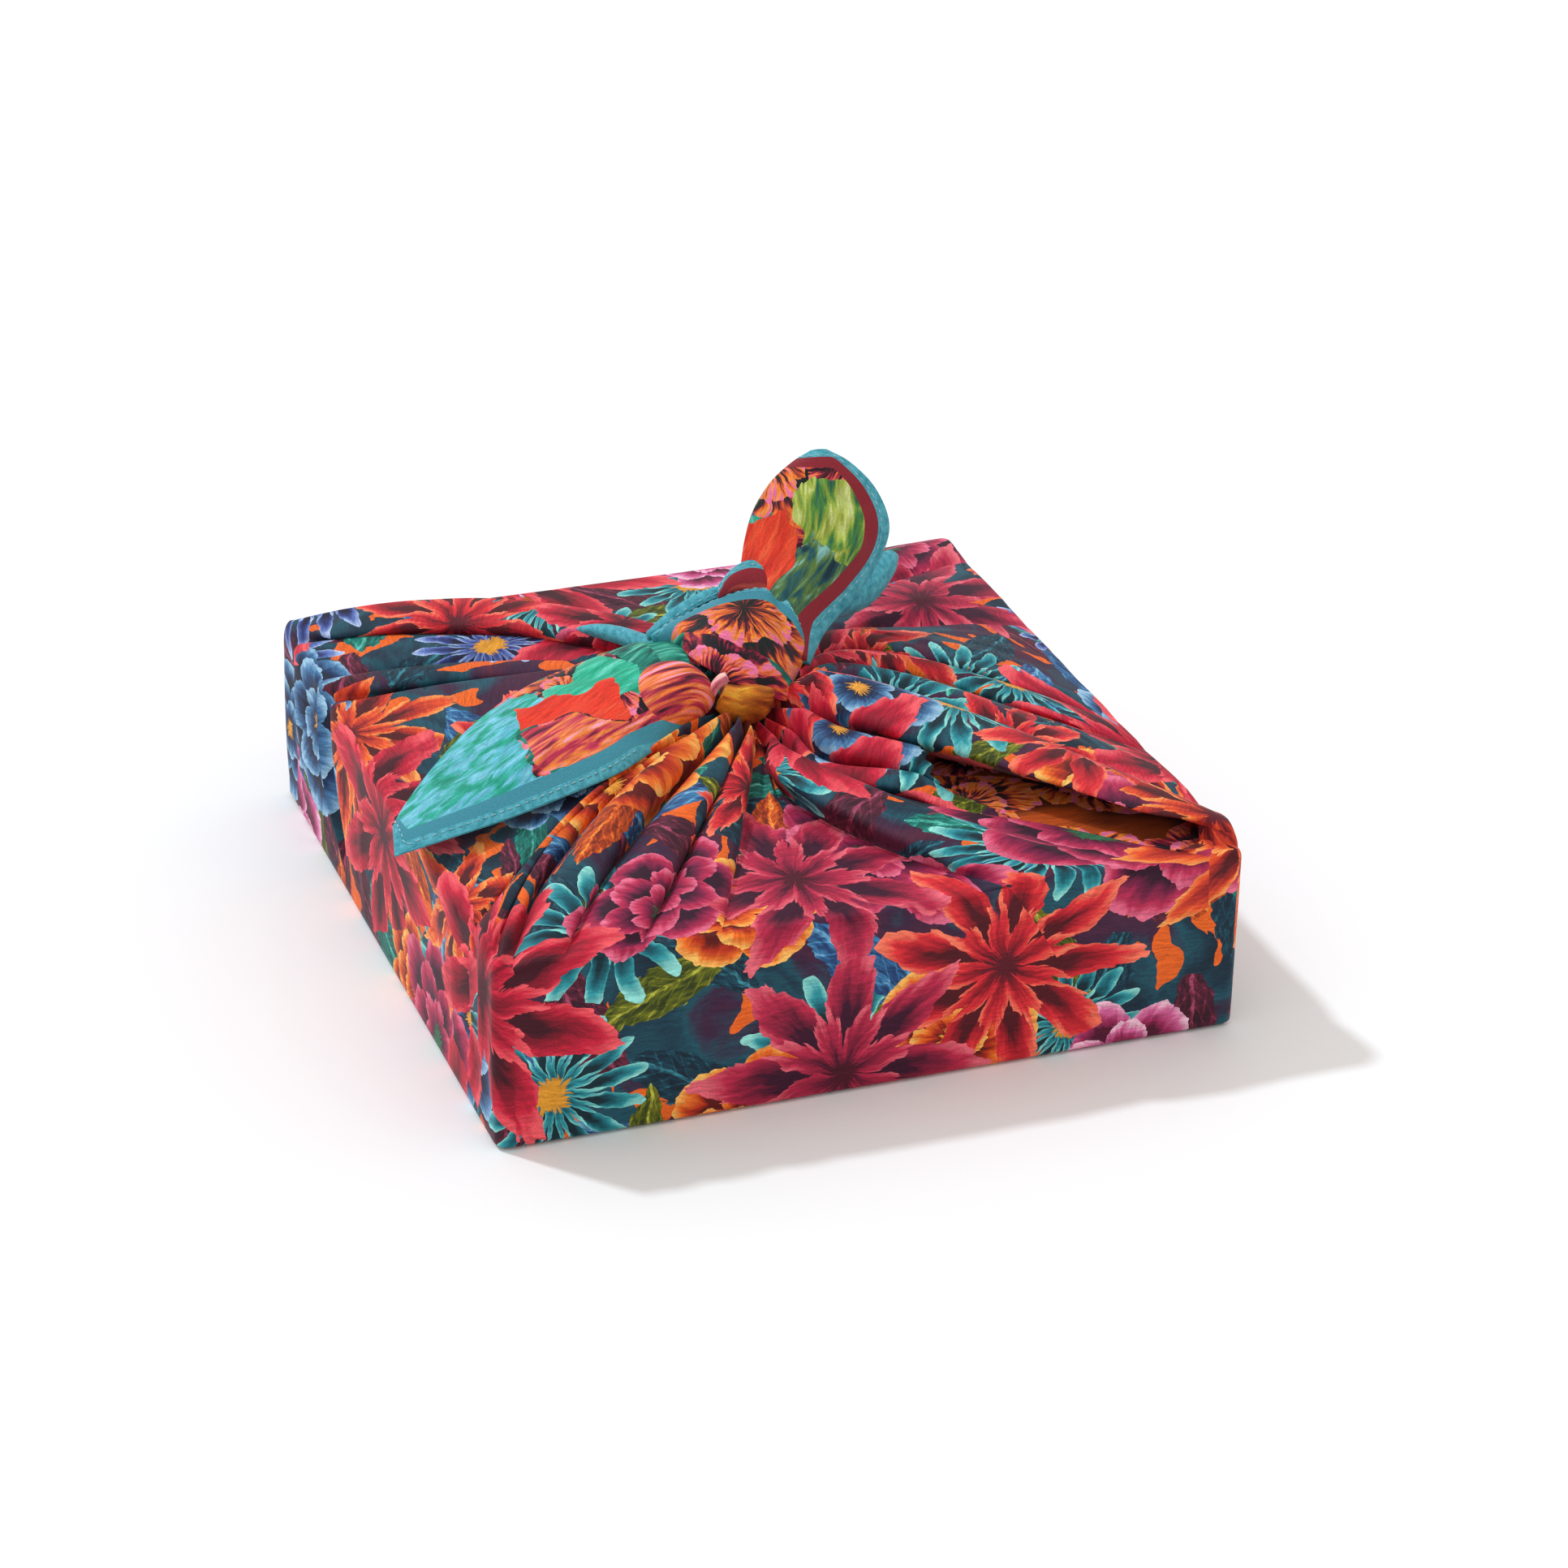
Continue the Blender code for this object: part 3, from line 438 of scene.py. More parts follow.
class Column:
    """One line of the cloth from the knot to the foot, at a share of the way from one fold to the next."""

    def __init__(self, first, second, share):
        def mix(a, b, by=share):
            return a + (b - a) * by

        self.mid = np.array([mix(first.mid_x, second.mid_x), mix(first.mid_y, second.mid_y)])
        self.turn = mix(first.turn, second.turn + (360 if second.turn < first.turn else 0))
        for name in ("bulge", "drift", "hook", "belly"):
            setattr(self, name, mix(getattr(first, name), getattr(second, name)))
        start, end = rim_length(first.rim_x, first.rim_y), rim_length(second.rim_x, second.rim_y)
        self.length = mix(start, end + (RIM_STOPS[-1] if end < start else 0))
        rise = crest(first.kind, second.kind, share)
        self.up = [mix(a, b, rise) for a, b in zip(first[7:10], second[7:10])]
        self.curl = (first.curl if first.curl > 0 else min(second.curl, 0)) * math.sin(math.pi * share)
        self.sinks = first.name in between_lips() and (share > 0 or first.name != LIPS[0])

    def over_lid(self, share):
        """Point on the lid's folds: plan position and height over the lid."""
        turn = math.radians(self.turn)
        start = np.array([KNOT_X + GATHER * math.cos(turn), KNOT_Y + GATHER * math.sin(turn)])
        end, _ = rim_point(self.length, EDGE_ROUND)
        ahead = (end - start) / np.linalg.norm(end - start)
        swing = (self.hook if share > 0.5 else self.belly) * math.sin(math.pi * 2 * share) ** 2
        swing += self.curl * eased(share / CURL_IN) * eased((1 - share) / CURL_OUT)
        x, y = three_way(share, start, self.mid, end) + swing * np.array([-ahead[1], ahead[0]])
        up = max(three_way(share, *self.up), 0.0)
        if self.sinks:
            up += (SINK_UP - up) * eased((share - SINK_FROM) / (SINK_TO - SINK_FROM))
        return x, y, up

    def down_side(self, height, inset):
        """Point on the side at a height over the table."""
        down = 1 - height / LID
        spread = math.sin(math.pi * min(1.0, down + 0.12)) ** 0.7 if down < 0.88 else 0.0
        base, out = rim_point(self.length + self.drift * math.sin(down * math.pi / 2), inset)
        return base + out * self.bulge * spread


def columns():
    """Columns at each fold and between folds, and for each fold the column that starts it."""
    out, marks = [], {}
    for first, second in zip(FOLDS, FOLDS[1:] + FOLDS[:1]):
        marks[first.name] = len(out)
        gap = Column(first, second, 1.0).length - Column(first, second, 0.0).length
        parts = max(COLUMNS_LEAST, round(gap / COLUMN_STEP))
        out += [Column(first, second, k / parts) for k in range(parts)]
    return out, marks


LID_SHARES = np.linspace(0, 1, 46)
RIM_TURNS = (15, 30, 45, 60, 75, 90)
SIDE_HEIGHTS = np.linspace(57, 3.5, 15)
UNDER_SHARES = (1, 0.93, 0.75, 0.5, 0.25)
RIM_ROW = len(FUNNEL) + len(LID_SHARES) - 1
FOOT_ROW = RIM_ROW + len(RIM_TURNS) + len(SIDE_HEIGHTS) + 2


def outer_line(column):
    """Outside of the cloth along a column, from the knot to the middle of the underside."""
    x, y, up = column.over_lid(0.0)
    line = [(KNOT_X + (x - KNOT_X) * share, KNOT_Y + (y - KNOT_Y) * share, LID + up + (FUNNEL_UP - up) * rise)
            for share, rise in FUNNEL]
    line += [(x, y, LID + up) for x, y, up in map(column.over_lid, LID_SHARES)]
    rim_up = column.over_lid(1.0)[2]
    for turn in map(math.radians, RIM_TURNS):
        z = LID + rim_up * math.cos(turn) - EDGE_ROUND * (1 - math.cos(turn))
        line.append((*column.down_side(min(z, LID), EDGE_ROUND * (1 - math.sin(turn))), z))
    line += [(*column.down_side(height, 0.0), height) for height in (*SIDE_HEIGHTS, FOOT_ROUND)]
    x, y = column.down_side(0.0, FOOT_ROUND)
    return line + [(x * share, y * share, 0.0) for share in UNDER_SHARES]


def flat_places(points, cols, marks):
    """Where each point of a pleat lies on the flat cloth, pleat by pleat, from valley to valley."""
    count, rows = points.shape[:2]
    reach = np.clip((RIM_ROW - np.arange(rows)) / SHEAR_ROWS, 0, 1)
    valleys = [marks[fold.name] for fold in FOLDS if fold.kind == "valley"]
    pleats = []
    for start, stop in zip(valleys, valleys[1:] + valleys[:1]):
        run = [i % count for i in range(start, (stop if stop > start else stop + count) + 1)]
        ups = [max(cols[i].up) for i in run]
        middle = int(np.argmax(ups)) if max(ups) > CROWN_UP else len(run) // 2
        strip, column = points[run], cols[run[middle]]
        crown = strip[middle]
        along = np.concatenate([[0], np.cumsum(np.linalg.norm(np.diff(crown, axis=0), axis=1))])
        down = np.clip(1 - crown[:, 2] / LID, 0, 1) * (np.arange(rows) >= RIM_ROW)
        way = np.gradient(crown, axis=0)
        way /= np.linalg.norm(way, axis=1)[:, None]
        flat = np.zeros((len(run), rows, 2))
        round_again = RIM_STOPS[-1] if column.length < cols[start].length - 1 else 0
        flat[middle, :, 0] = column.length + round_again + column.drift * np.sin(down * math.pi / 2)
        flat[middle, :, 1] = along[FOOT_ROW] - along
        for direction, order in ((1, range(middle + 1, len(run))), (-1, range(middle - 1, -1, -1))):
            for i in order:
                apart = strip[i] - strip[i - direction]
                shear = (apart * way).sum(1) * reach
                across = np.sqrt(np.maximum((apart ** 2).sum(1) - shear ** 2, 0))
                flat[i, :, 0] = flat[i - direction, :, 0] + across * direction
                flat[i, :, 1] = flat[i - direction, :, 1] - shear
        pleats.append((run, flat))
    return pleats


def mouth_cells(marks):
    """Cells of the cloth that are left open between the two lips."""
    low, high = marks[LIPS[0]], marks[LIPS[1]]
    cells = set()
    for i in range(low, high):
        start = MOUTH_FROM + MOUTH_SLANT * (1 - (i - low) / (high - 1 - low))
        for r, (share, after) in enumerate(zip(LID_SHARES, LID_SHARES[1:])):
            if share > start - ON_EDGE and after < MOUTH_TO + ON_EDGE:
                cells.add((i, r + len(FUNNEL)))
    return cells


class Sheet:
    """Points, faces, flat places and hem distances of the cloth, gathered from its stretches."""

    def __init__(self):
        self.points, self.faces, self.flat, self.hem = [], [], [], []

    def grid(self, points, flat, hem, round_the_edge=False, skip=()):
        """Adds a grid of points, rows by columns, with its flat places and hem distances."""
        rows, count = points.shape[:2]
        start = len(self.points)
        self.points += [tuple(p) for p in points.reshape(-1, 3)]
        for r in range(rows - 1):
            for c in range(count if round_the_edge else count - 1):
                if (r, c) in skip:
                    continue
                n = (c + 1) % count
                corners = [(r, c), (r, n), (r + 1, n), (r + 1, c)]
                self.faces.append([start + a * count + b for a, b in corners])
                self.flat += [tuple(flat[a, b]) for a, b in corners]
                self.hem += [float(hem[a, b]) for a, b in corners]


def body_cloth(sheet):
    """The folds on the lid, the sides and the underside."""
    cols, marks = columns()
    lines = wrinkled(np.array([outer_line(column) for column in cols]), cols)
    skip = mouth_cells(marks)
    for run, flat in flat_places(lines, cols, marks):
        strip = lines[run]
        flat[:, FOOT_ROW + 1:] = strip[:, FOOT_ROW + 1:, :2] + UNDERSIDE_AT
        left_open = {(k, r) for k, i in enumerate(run[:-1]) for r in range(strip.shape[1]) if (i, r) in skip}
        sheet.grid(strip * MM, flat * MM, np.ones(strip.shape[:2]), skip=left_open)


# Waves in the soft cotton: how many to a millimetre of rim and along a column, and how high on lid and sides.
Wave = namedtuple("Wave", "across along seed lid side")
WAVES = (Wave(0.085, 5, 3, 0.7, 0.35), Wave(0.2, 7, 9, 0.45, 0.2))
PUFF = 0.35             # how far the cloth stands off the lid


def wrinkled(lines, cols):
    """The same lines with the small unevenness of soft cotton, and with the creases pressed in."""
    out, away = lines.copy(), np.zeros_like(lines)
    away[:, :RIM_ROW, 2] = 1.0
    rows = lines.shape[1]
    for i, column in enumerate(cols):
        away[i, RIM_ROW:, :2] = rim_point(column.length, 0.0)[1]
        for r in np.nonzero(lines[i, :, 2] >= 2)[0]:
            push = PUFF if r <= RIM_ROW else 0.0
            for w in WAVES:
                wave = noise.noise(Vector((column.length * w.across, r / rows * w.along, w.seed)))
                push += wave * (w.lid if r <= RIM_ROW else w.side)
            if r <= RIM_ROW:
                out[i, r, 2] += push * min(1.0, (RIM_ROW - r) / 5)
            else:
                out[i, r] += away[i, r] * push * min(1.0, lines[i, r, 2] / 12) * min(1.0, (r - RIM_ROW) / 4)
    return pressed(out, away, CREASES)


def pressed(points, away, creases):
    """The points with creases pressed in against the given outward directions."""
    out = points.copy()
    for crease in creases:
        start, end = np.array(crease[1:4], float), np.array(crease[4:7], float)
        way = end - start
        share = np.clip((points - start) @ way / (way @ way), 0, 1)
        apart = np.linalg.norm(points - start - share[..., None] * way, axis=-1)
        soft_ends = np.clip(np.minimum(share, 1 - share) * 5, 0, 1)
        out -= away * (crease.deep * soft_ends * np.exp(-(apart / crease.wide) ** 2))[..., None]
    return out


def smooth_rows(sections, per_row):
    """Rows between the given sections, on a smooth curve through them."""
    rows = np.array(sections, float)
    padded = np.vstack([2 * rows[0] - rows[1], rows, 2 * rows[-1] - rows[-2]])
    out = []
    for i in range(1, len(rows)):
        a, b, c, d = padded[i - 1:i + 3]
        for t in np.arange(per_row) / per_row:
            out.append(0.5 * (2 * b + (c - a) * t + (2 * a - 5 * b + 4 * c - d) * t ** 2
                              + (3 * b - a - 3 * c + d) * t ** 3))
    out.append(rows[-1])
    return np.array(out)


def section_point(row, face, share, under=0.0):
    """Point of a section, from share -1 at edge a to 1 at edge b, on its upper surface where under is 0."""
    a, b = row[0:3], row[3:6]
    lift = row[7] * (1 - share ** 2) + row[6] / 2 * (1 - share ** 2) ** 0.625 - row[6] * under
    return (a + b) / 2 + (b - a) / 2 * share + face * lift + np.array([0, 0, LID])


def section_faces(rows):
    """Which way the upper surface of each section looks, and how far along the end each section lies."""
    middles = (rows[:, 0:3] + rows[:, 3:6]) / 2
    faces = [np.array([0.0, -0.5, 1.0])]
    for way, row in zip(np.gradient(middles, axis=0), rows):
        face = np.cross(way, row[3:6] - row[0:3])
        faces.append(face / (np.linalg.norm(face) * (1 if face @ faces[-1] > 0 else -1)))
    steps = np.linalg.norm(np.diff(middles, axis=0), axis=1)
    return np.array(faces[1:]), np.concatenate([[0], np.cumsum(steps)])


def capped(grid, middles):
    """The grid with a row more at each end, in which every point has that cap's middle value."""
    first, last = (np.broadcast_to(middle, grid[:1].shape) for middle in middles)
    return np.concatenate([first, grid, last])


def end_cloth(sheet, end):
    """A knotted band or loose end: round along its edges, crowned across, with its hem along one edge."""
    rows = smooth_rows(end.sections, end.per_row)
    faces, travelled = section_faces(rows)
    turns = 2 * math.pi * np.arange(end.around) / end.around
    across, under = np.cos(turns), np.maximum(-np.sin(turns), 0) ** 1.25
    points = np.array([[section_point(row, face, *place) for place in zip(across, under)]
                       for row, face in zip(rows, faces)])
    points = pressed(points, np.repeat(faces[:, None], end.around, axis=1), end.creases)
    half = np.linalg.norm(rows[:, 3:6] - rows[:, 0:3], axis=1)[:, None] / 2
    side = np.where(turns <= math.pi, 1, -1)
    flat = np.zeros(points.shape[:2] + (2,))
    flat[..., 0] = end.flat_x + travelled[:, None]
    flat[..., 1] = end.flat_y + half * across * side
    hem = np.full(points.shape[:2], 0.0 if end.hem == "all" else 1.0)
    if end.hem in ("a", "b"):
        from_edge = half * (1 - across * (1 if end.hem == "b" else -1))
        if end.tip:
            from_edge = np.minimum(from_edge, (travelled[-1] - travelled)[:, None] * TIP_NARROW)
        hem = (from_edge + np.maximum(end.hem_from - travelled, 0)[:, None] * HEM_FADE) * MM
    points = capped(points, points[[0, -1]].mean(1))
    flat, hem = capped(flat, flat[[0, -1], -1]), capped(hem, hem[[0, -1], -1])
    sheet.grid(points * MM, flat * MM, hem, round_the_edge=True)


def hem_path(end):
    """Where the stitches run: on top, a little in from the hemmed edge, and round a hemmed tip."""
    rows = smooth_rows(end.sections, end.per_row)
    faces, travelled = section_faces(rows)
    path = []
    for row, face, far in zip(rows, faces, travelled):
        share = 1 - 2 * STITCH_IN / np.linalg.norm(row[3:6] - row[0:3])
        at_tip = end.tip and (travelled[-1] - far) * TIP_NARROW < STITCH_IN
        if far >= end.hem_from and share > -0.2 and not at_tip:
            path.append((row, face, share if end.hem == "b" else -share))
    if end.tip:
        row, face, share = path[-1]
        path += [(row, face, along) for along in np.linspace(share, -0.9, 8)[1:]]
    points = np.array([section_point(*stop) for stop in path])
    away = np.array([face for _, face, _ in path])
    return pressed(points, away, end.creases) + away * THREAD_WIDE * 0.25


def hem_stitches():
    """Running stitches of teal thread along the hems of the free corners, laid along their paths."""
    mesh = bpy.data.meshes.new("hem stitches")
    points, edges = [], []
    for path in [hem_path(end) for end in ENDS if end.hem in ("a", "b")]:
        edges += [(len(points) + i, len(points) + i + 1) for i in range(len(path) - 1)]
        points += [tuple(p * MM) for p in path]
    mesh.from_pydata(points, edges, [])
    stitches = placed("hem_stitches", mesh)
    tree = bpy.data.node_groups.new("running stitch", "GeometryNodeTree")
    tree.interface.new_socket("path", in_out="INPUT", socket_type="NodeSocketGeometry")
    values = {}
    for name, kind, value in (("pitch", "Float", STITCH_PITCH * MM),
                              ("stitch length", "Float", STITCH_LONG * MM),
                              ("thread width", "Float", THREAD_WIDE * MM),
                              ("thread", "Material", polyester_thread())):
        socket = tree.interface.new_socket(name, in_out="INPUT", socket_type="NodeSocket" + kind)
        values[socket.identifier] = value
    tree.interface.new_socket("stitches", in_out="OUTPUT", socket_type="NodeSocketGeometry")
    node = partial(add, tree)
    given = node("NodeGroupInput", out=None).outputs
    curve = node("GeometryNodeMeshToCurve", {"Mesh": given["path"]})
    curve = node("GeometryNodeResampleCurve", {"Curve": curve, "Length": given["pitch"]}, mode="LENGTH")
    bead = node("GeometryNodeMeshUVSphere", {"Segments": 6, "Rings": 4, "Radius": 0.5})
    size = node("CombineXYZ", (given["thread width"], given["thread width"], given["stitch length"]))
    bead = node("GeometryNodeTransform", {"Geometry": bead, "Scale": size})
    along = node("GeometryNodeInputTangent")
    along = node("FunctionNodeAlignRotationToVector", {"Vector": along}, axis="Z")
    laid = node("GeometryNodeInstanceOnPoints", {"Points": curve, "Instance": bead, "Rotation": along})
    laid = node("GeometryNodeRealizeInstances", {"Geometry": laid})
    laid = node("GeometryNodeSetShadeSmooth", {"Geometry": laid})
    laid = node("GeometryNodeSetMaterial", {"Geometry": laid, "Material": given["thread"]})
    node("NodeGroupOutput", {"stitches": laid}, out=None)
    laying = stitches.modifiers.new("running stitch", "NODES")
    laying.node_group = tree
    for identifier, value in values.items():
        laying[identifier] = value
    return made_real(stitches)


def hidden_layer(sheet, corners, place, ripple=0.0):
    """A flat layer of the cloth between four corners, which the folds outside it cover."""
    a, b, c, d = (np.array(corner, float) for corner in corners)
    u = np.linspace(0, 1, 20 if ripple else 9)
    points = np.array([[(a + (b - a) * s) * (1 - t) + (d + (c - d) * s) * t for s in u] for t in u])
    points[..., 2] += [[ripple * noise.noise(Vector(p * 0.03)) for p in row] for row in points]
    flat = np.meshgrid(place[0] + u * np.linalg.norm(b - a), place[1] + u * np.linalg.norm(d - a))
    flat = np.stack(flat, -1)
    sheet.grid(points * MM, flat * MM, np.ones(flat.shape[:2]))


def hidden_layers(sheet):
    """What the folds cover: the near and far corners of the square, of which the near one shows in the mouth,
    the inner layers of the left and right gathers, and the doubled tucks inside the four upright corners."""
    for near, up, place_x, place_y in ((1, 62.1, 600, 1000), (-1, 61.1, 1000, 0)):
        wide = [(near * x, near * y, up) for x, y in ((-121, -124), (121, -124), (121, 62), (-121, 62))]
        tip = [(near * x, near * y, up) for x, y in ((-121, 62), (121, 62), (4, 122), (-4, 122))]
        hidden_layer(sheet, wide, (place_x, place_y), 0.4)
        hidden_layer(sheet, tip, (place_x, place_y + 190), 0.4)
    left = [(x, y, 62.3) for x, y in ((-122, 116), (-122, -108), (-24, -20), (-24, 28))]
    right = [(x, y, 62.3) for x, y in ((122, -30), (122, 116), (24, 28), (24, -4))]
    hidden_layer(sheet, left, (200, 200))
    hidden_layer(sheet, right, (200, 400))
    for x in (-123.6, -122.6, 122.6, 123.6):
        for y in (-1, 1):
            tuck = [(x, y * 122, 3), (x, y * 62, 3), (x, y * 62, 60), (x, y * 122, 60)]
            hidden_layer(sheet, tuck, (900, 400))


def placed(name, data):
    """A new object in the scene with the given mesh, light or camera."""
    made = bpy.data.objects.new(name, data)
    bpy.context.scene.collection.objects.link(made)
    return made


def made_real(piece):
    """The piece with its modifiers worked out and taken off."""
    graph = bpy.context.evaluated_depsgraph_get()
    mesh = bpy.data.meshes.new_from_object(piece.evaluated_get(graph))
    piece.modifiers.clear()
    piece.data = mesh
    return piece


def cloth_object(sheet):
    """The whole cloth as one mesh, with its flat places as a UV map and its hem distance as an attribute."""
    mesh = bpy.data.meshes.new("cloth")
    mesh.from_pydata(sheet.points, [], sheet.faces)
    places = mesh.uv_layers.new(name="flat cloth")
    places.data.foreach_set("uv", np.array(sheet.flat, np.float32).ravel())
    hem = mesh.attributes.new("hem distance", "FLOAT", "CORNER")
    hem.data.foreach_set("value", np.array(sheet.hem, np.float32))
    mesh.polygons.foreach_set("use_smooth", np.ones(len(mesh.polygons), bool))
    return placed("furoshiki_cloth", mesh)


def finished(piece, thick):
    """The piece with its doubled points merged, its faces out and its thickness made."""
    body = bmesh.new()
    body.from_mesh(piece.data)
    bmesh.ops.remove_doubles(body, verts=body.verts, dist=MERGE)
    bmesh.ops.recalc_face_normals(body, faces=body.faces)
    body.to_mesh(piece.data)
    body.free()
    wall = piece.modifiers.new("cloth thickness", "SOLIDIFY")
    wall.thickness = thick * MM
    wall.offset = -1
    return made_real(piece)


def linear(code, alpha=1.0):
    """Linear colour from an sRGB hex code."""
    parts = [int(code[i:i + 2], 16) / 255 for i in (1, 3, 5)]
    return tuple(c / 12.92 if c <= 0.04045 else ((c + 0.055) / 1.055) ** 2.4 for c in parts) + (alpha,)


def add(tree, kind, inputs=(), out=0, stops=(), **settings):
    """Adds a node with its settings, colour stops and links, and gives its output, or the node where out is
    None. The kind may have the node's operation after it."""
    kind, *operation = kind.split()
    node = tree.nodes.new(kind if "Node" in kind else "ShaderNode" + kind)
    for name, value in [*settings.items(), *(("operation", said) for said in operation)]:
        setattr(node, name, value)
    for place, value in (inputs.items() if isinstance(inputs, dict) else enumerate(inputs)):
        if isinstance(value, bpy.types.NodeSocket):
            tree.links.new(value, node.inputs[place])
        else:
            node.inputs[place].default_value = value
    for i, (place, code) in enumerate(stops):
        element = node.color_ramp.elements.new(place) if i > 1 else node.color_ramp.elements[i]
        element.position = place
        element.color = linear(code)
    return node if out is None else node.outputs[out]


OVER = {"out": 2, "data_type": "RGBA"}      # settings of a Mix node that lays one colour over another


def even(codes):
    """Colour stops at even steps."""
    return [(i / (len(codes) - 1), code) for i, code in enumerate(codes)]


def two_sets(node, tone, pick, row):
    """The colour for a tone, from the first or the other of the row's two sets of colours."""
    first = node("ValToRGB", (tone,), stops=even(row.colours))
    other = node("ValToRGB", (tone,), stops=even(row.other_colours))
    return node("Mix", {0: node("Math GREATER_THAN", (pick, 0.5)), 6: first, 7: other}, **OVER)


def middles(node, place, row, spread):
    """Way from the middle of the nearest motif, as a share of the spacing, and three random values for it."""
    scale = 1 / (row.spacing * MM)
    moved = node("Mapping", {0: place, 1: (row.shift_x, row.shift_y, 0), 3: (scale, scale, 1)})
    cells = node("TexVoronoi", {"Vector": moved, "Scale": 1.0, "Randomness": spread}, out=None,
                voronoi_dimensions="2D")
    apart = node("VectorMath SUBTRACT", (moved, cells.outputs["Position"]))
    return apart, *node("SeparateColor", (cells.outputs["Color"],), out=None).outputs


def whorl(node, away, turned, stroke, reach, row):
    """How deep a place lies inside one ring of petals, and how far it is from its petal's middle line."""
    beside = node("Math MULTIPLY_ADD", (node("Math FRACT", (turned,)), 2.0, -1.0))
    lobe = node("Math POWER", (node("Math ABSOLUTE", (beside,)), row.point))
    edge = node("Math MULTIPLY_ADD", (lobe, -row.cut * reach, reach))
    edge = node("Math MULTIPLY_ADD", (stroke, row.ragged, edge))
    return node("Math SUBTRACT", (edge, away)), lobe


def flower_layer(node, place, corner, row):
    """A layer of flowers scattered over the cloth: where it covers what is under it, and its colour."""
    apart, pick, spin, grow = middles(node, place, row, row.spread)
    size = node("Math MULTIPLY_ADD", (grow, 0.45 * row.size, 0.72 * row.size))
    away = node("VectorMath LENGTH", (apart,), out=1)
    away = node("Math DIVIDE", (away, size))
    across, up, _ = node("SeparateXYZ", (apart,), out=None).outputs
    angle = node("Math ARCTAN2", (up, across))
    turns = node("Math MULTIPLY_ADD", (angle, 1 / (2 * math.pi), spin))
    turned = node("Math MULTIPLY", (turns, row.petals))
    scales = ((turned, row.hatch), (away, 2.4), (pick, 37.0))
    along = node("CombineXYZ", [node("Math MULTIPLY", pair) for pair in scales])
    stroke = node("TexNoise", {"Vector": along, "Scale": 1.0, "Detail": 2.5, "Roughness": 0.6})
    stroke = node("Math SUBTRACT", (stroke, 0.5))
    step = 0.86 / row.whorls
    tone, outer = None, None
    for k in range(row.whorls):
        offset = node("Math ADD", (turned, 0.5 * k + 0.13 * (k // 2)))
        depth, lobe = whorl(node, away, offset, stroke, 1.0 - step * k, row)
        shade = node("Math MULTIPLY_ADD", (depth, -0.92 / step, 1.0))
        shade = node("Math MULTIPLY_ADD", (lobe, -0.28, shade))
        if tone is None:
            tone, outer = shade, depth
        else:
            inside = node("Math GREATER_THAN", (depth, 0.0))
            tone = node("Mix", {0: inside, 2: tone, 3: shade})
    tone = node("Math MULTIPLY_ADD", (stroke, row.brush, tone))
    colour = two_sets(node, tone, spin, row)
    heart = node("Math MULTIPLY_ADD", (stroke, 0.35, away))
    heart = node("Math LESS_THAN", (heart, row.heart_size))
    colour = node("Mix", {0: heart, 6: colour, 7: linear(row.heart)}, **OVER)
    cover = node("Math GREATER_THAN", (outer, 0.0))
    kept = node("Math LESS_THAN", (pick, row.share))
    kept = node("Math MULTIPLY", (kept, corner)) if row.corner else kept
    return node("Math MULTIPLY", (cover, kept)), colour


def patch_layer(node, place, bent, row):
    """A painted area of the flat cloth with curved, ragged edges: its cover and its colour."""
    strokes = node("VectorMath MULTIPLY", (place, (row.stroke_x, row.stroke_y, 1.0)))
    stroke = node("TexNoise", {"Vector": strokes, "Scale": 1.0, "Detail": 2.5, "Distortion": 0.6})
    x, y, _ = node("SeparateXYZ", (bent if row.ragged else place,), out=None).outputs
    depth = None
    for part, sign, limit in ((x, 1, row.from_x), (x, -1, row.to_x), (y, 1, row.from_y), (y, -1, row.to_y)):
        edge = node("Math MULTIPLY_ADD", (part, sign, -sign * limit * MM))
        depth = edge if depth is None else node("Math MINIMUM", (depth, edge))
    inside = node("Math MULTIPLY_ADD", (stroke, row.ragged * MM, -0.5 * row.ragged * MM))
    inside = node("Math ADD", (inside, depth))
    tone = node("Math MULTIPLY_ADD", (stroke, 2.6, -0.8))
    return node("Math GREATER_THAN", (inside, 0.0)), node("ValToRGB", (tone,), stops=even(row.colours))


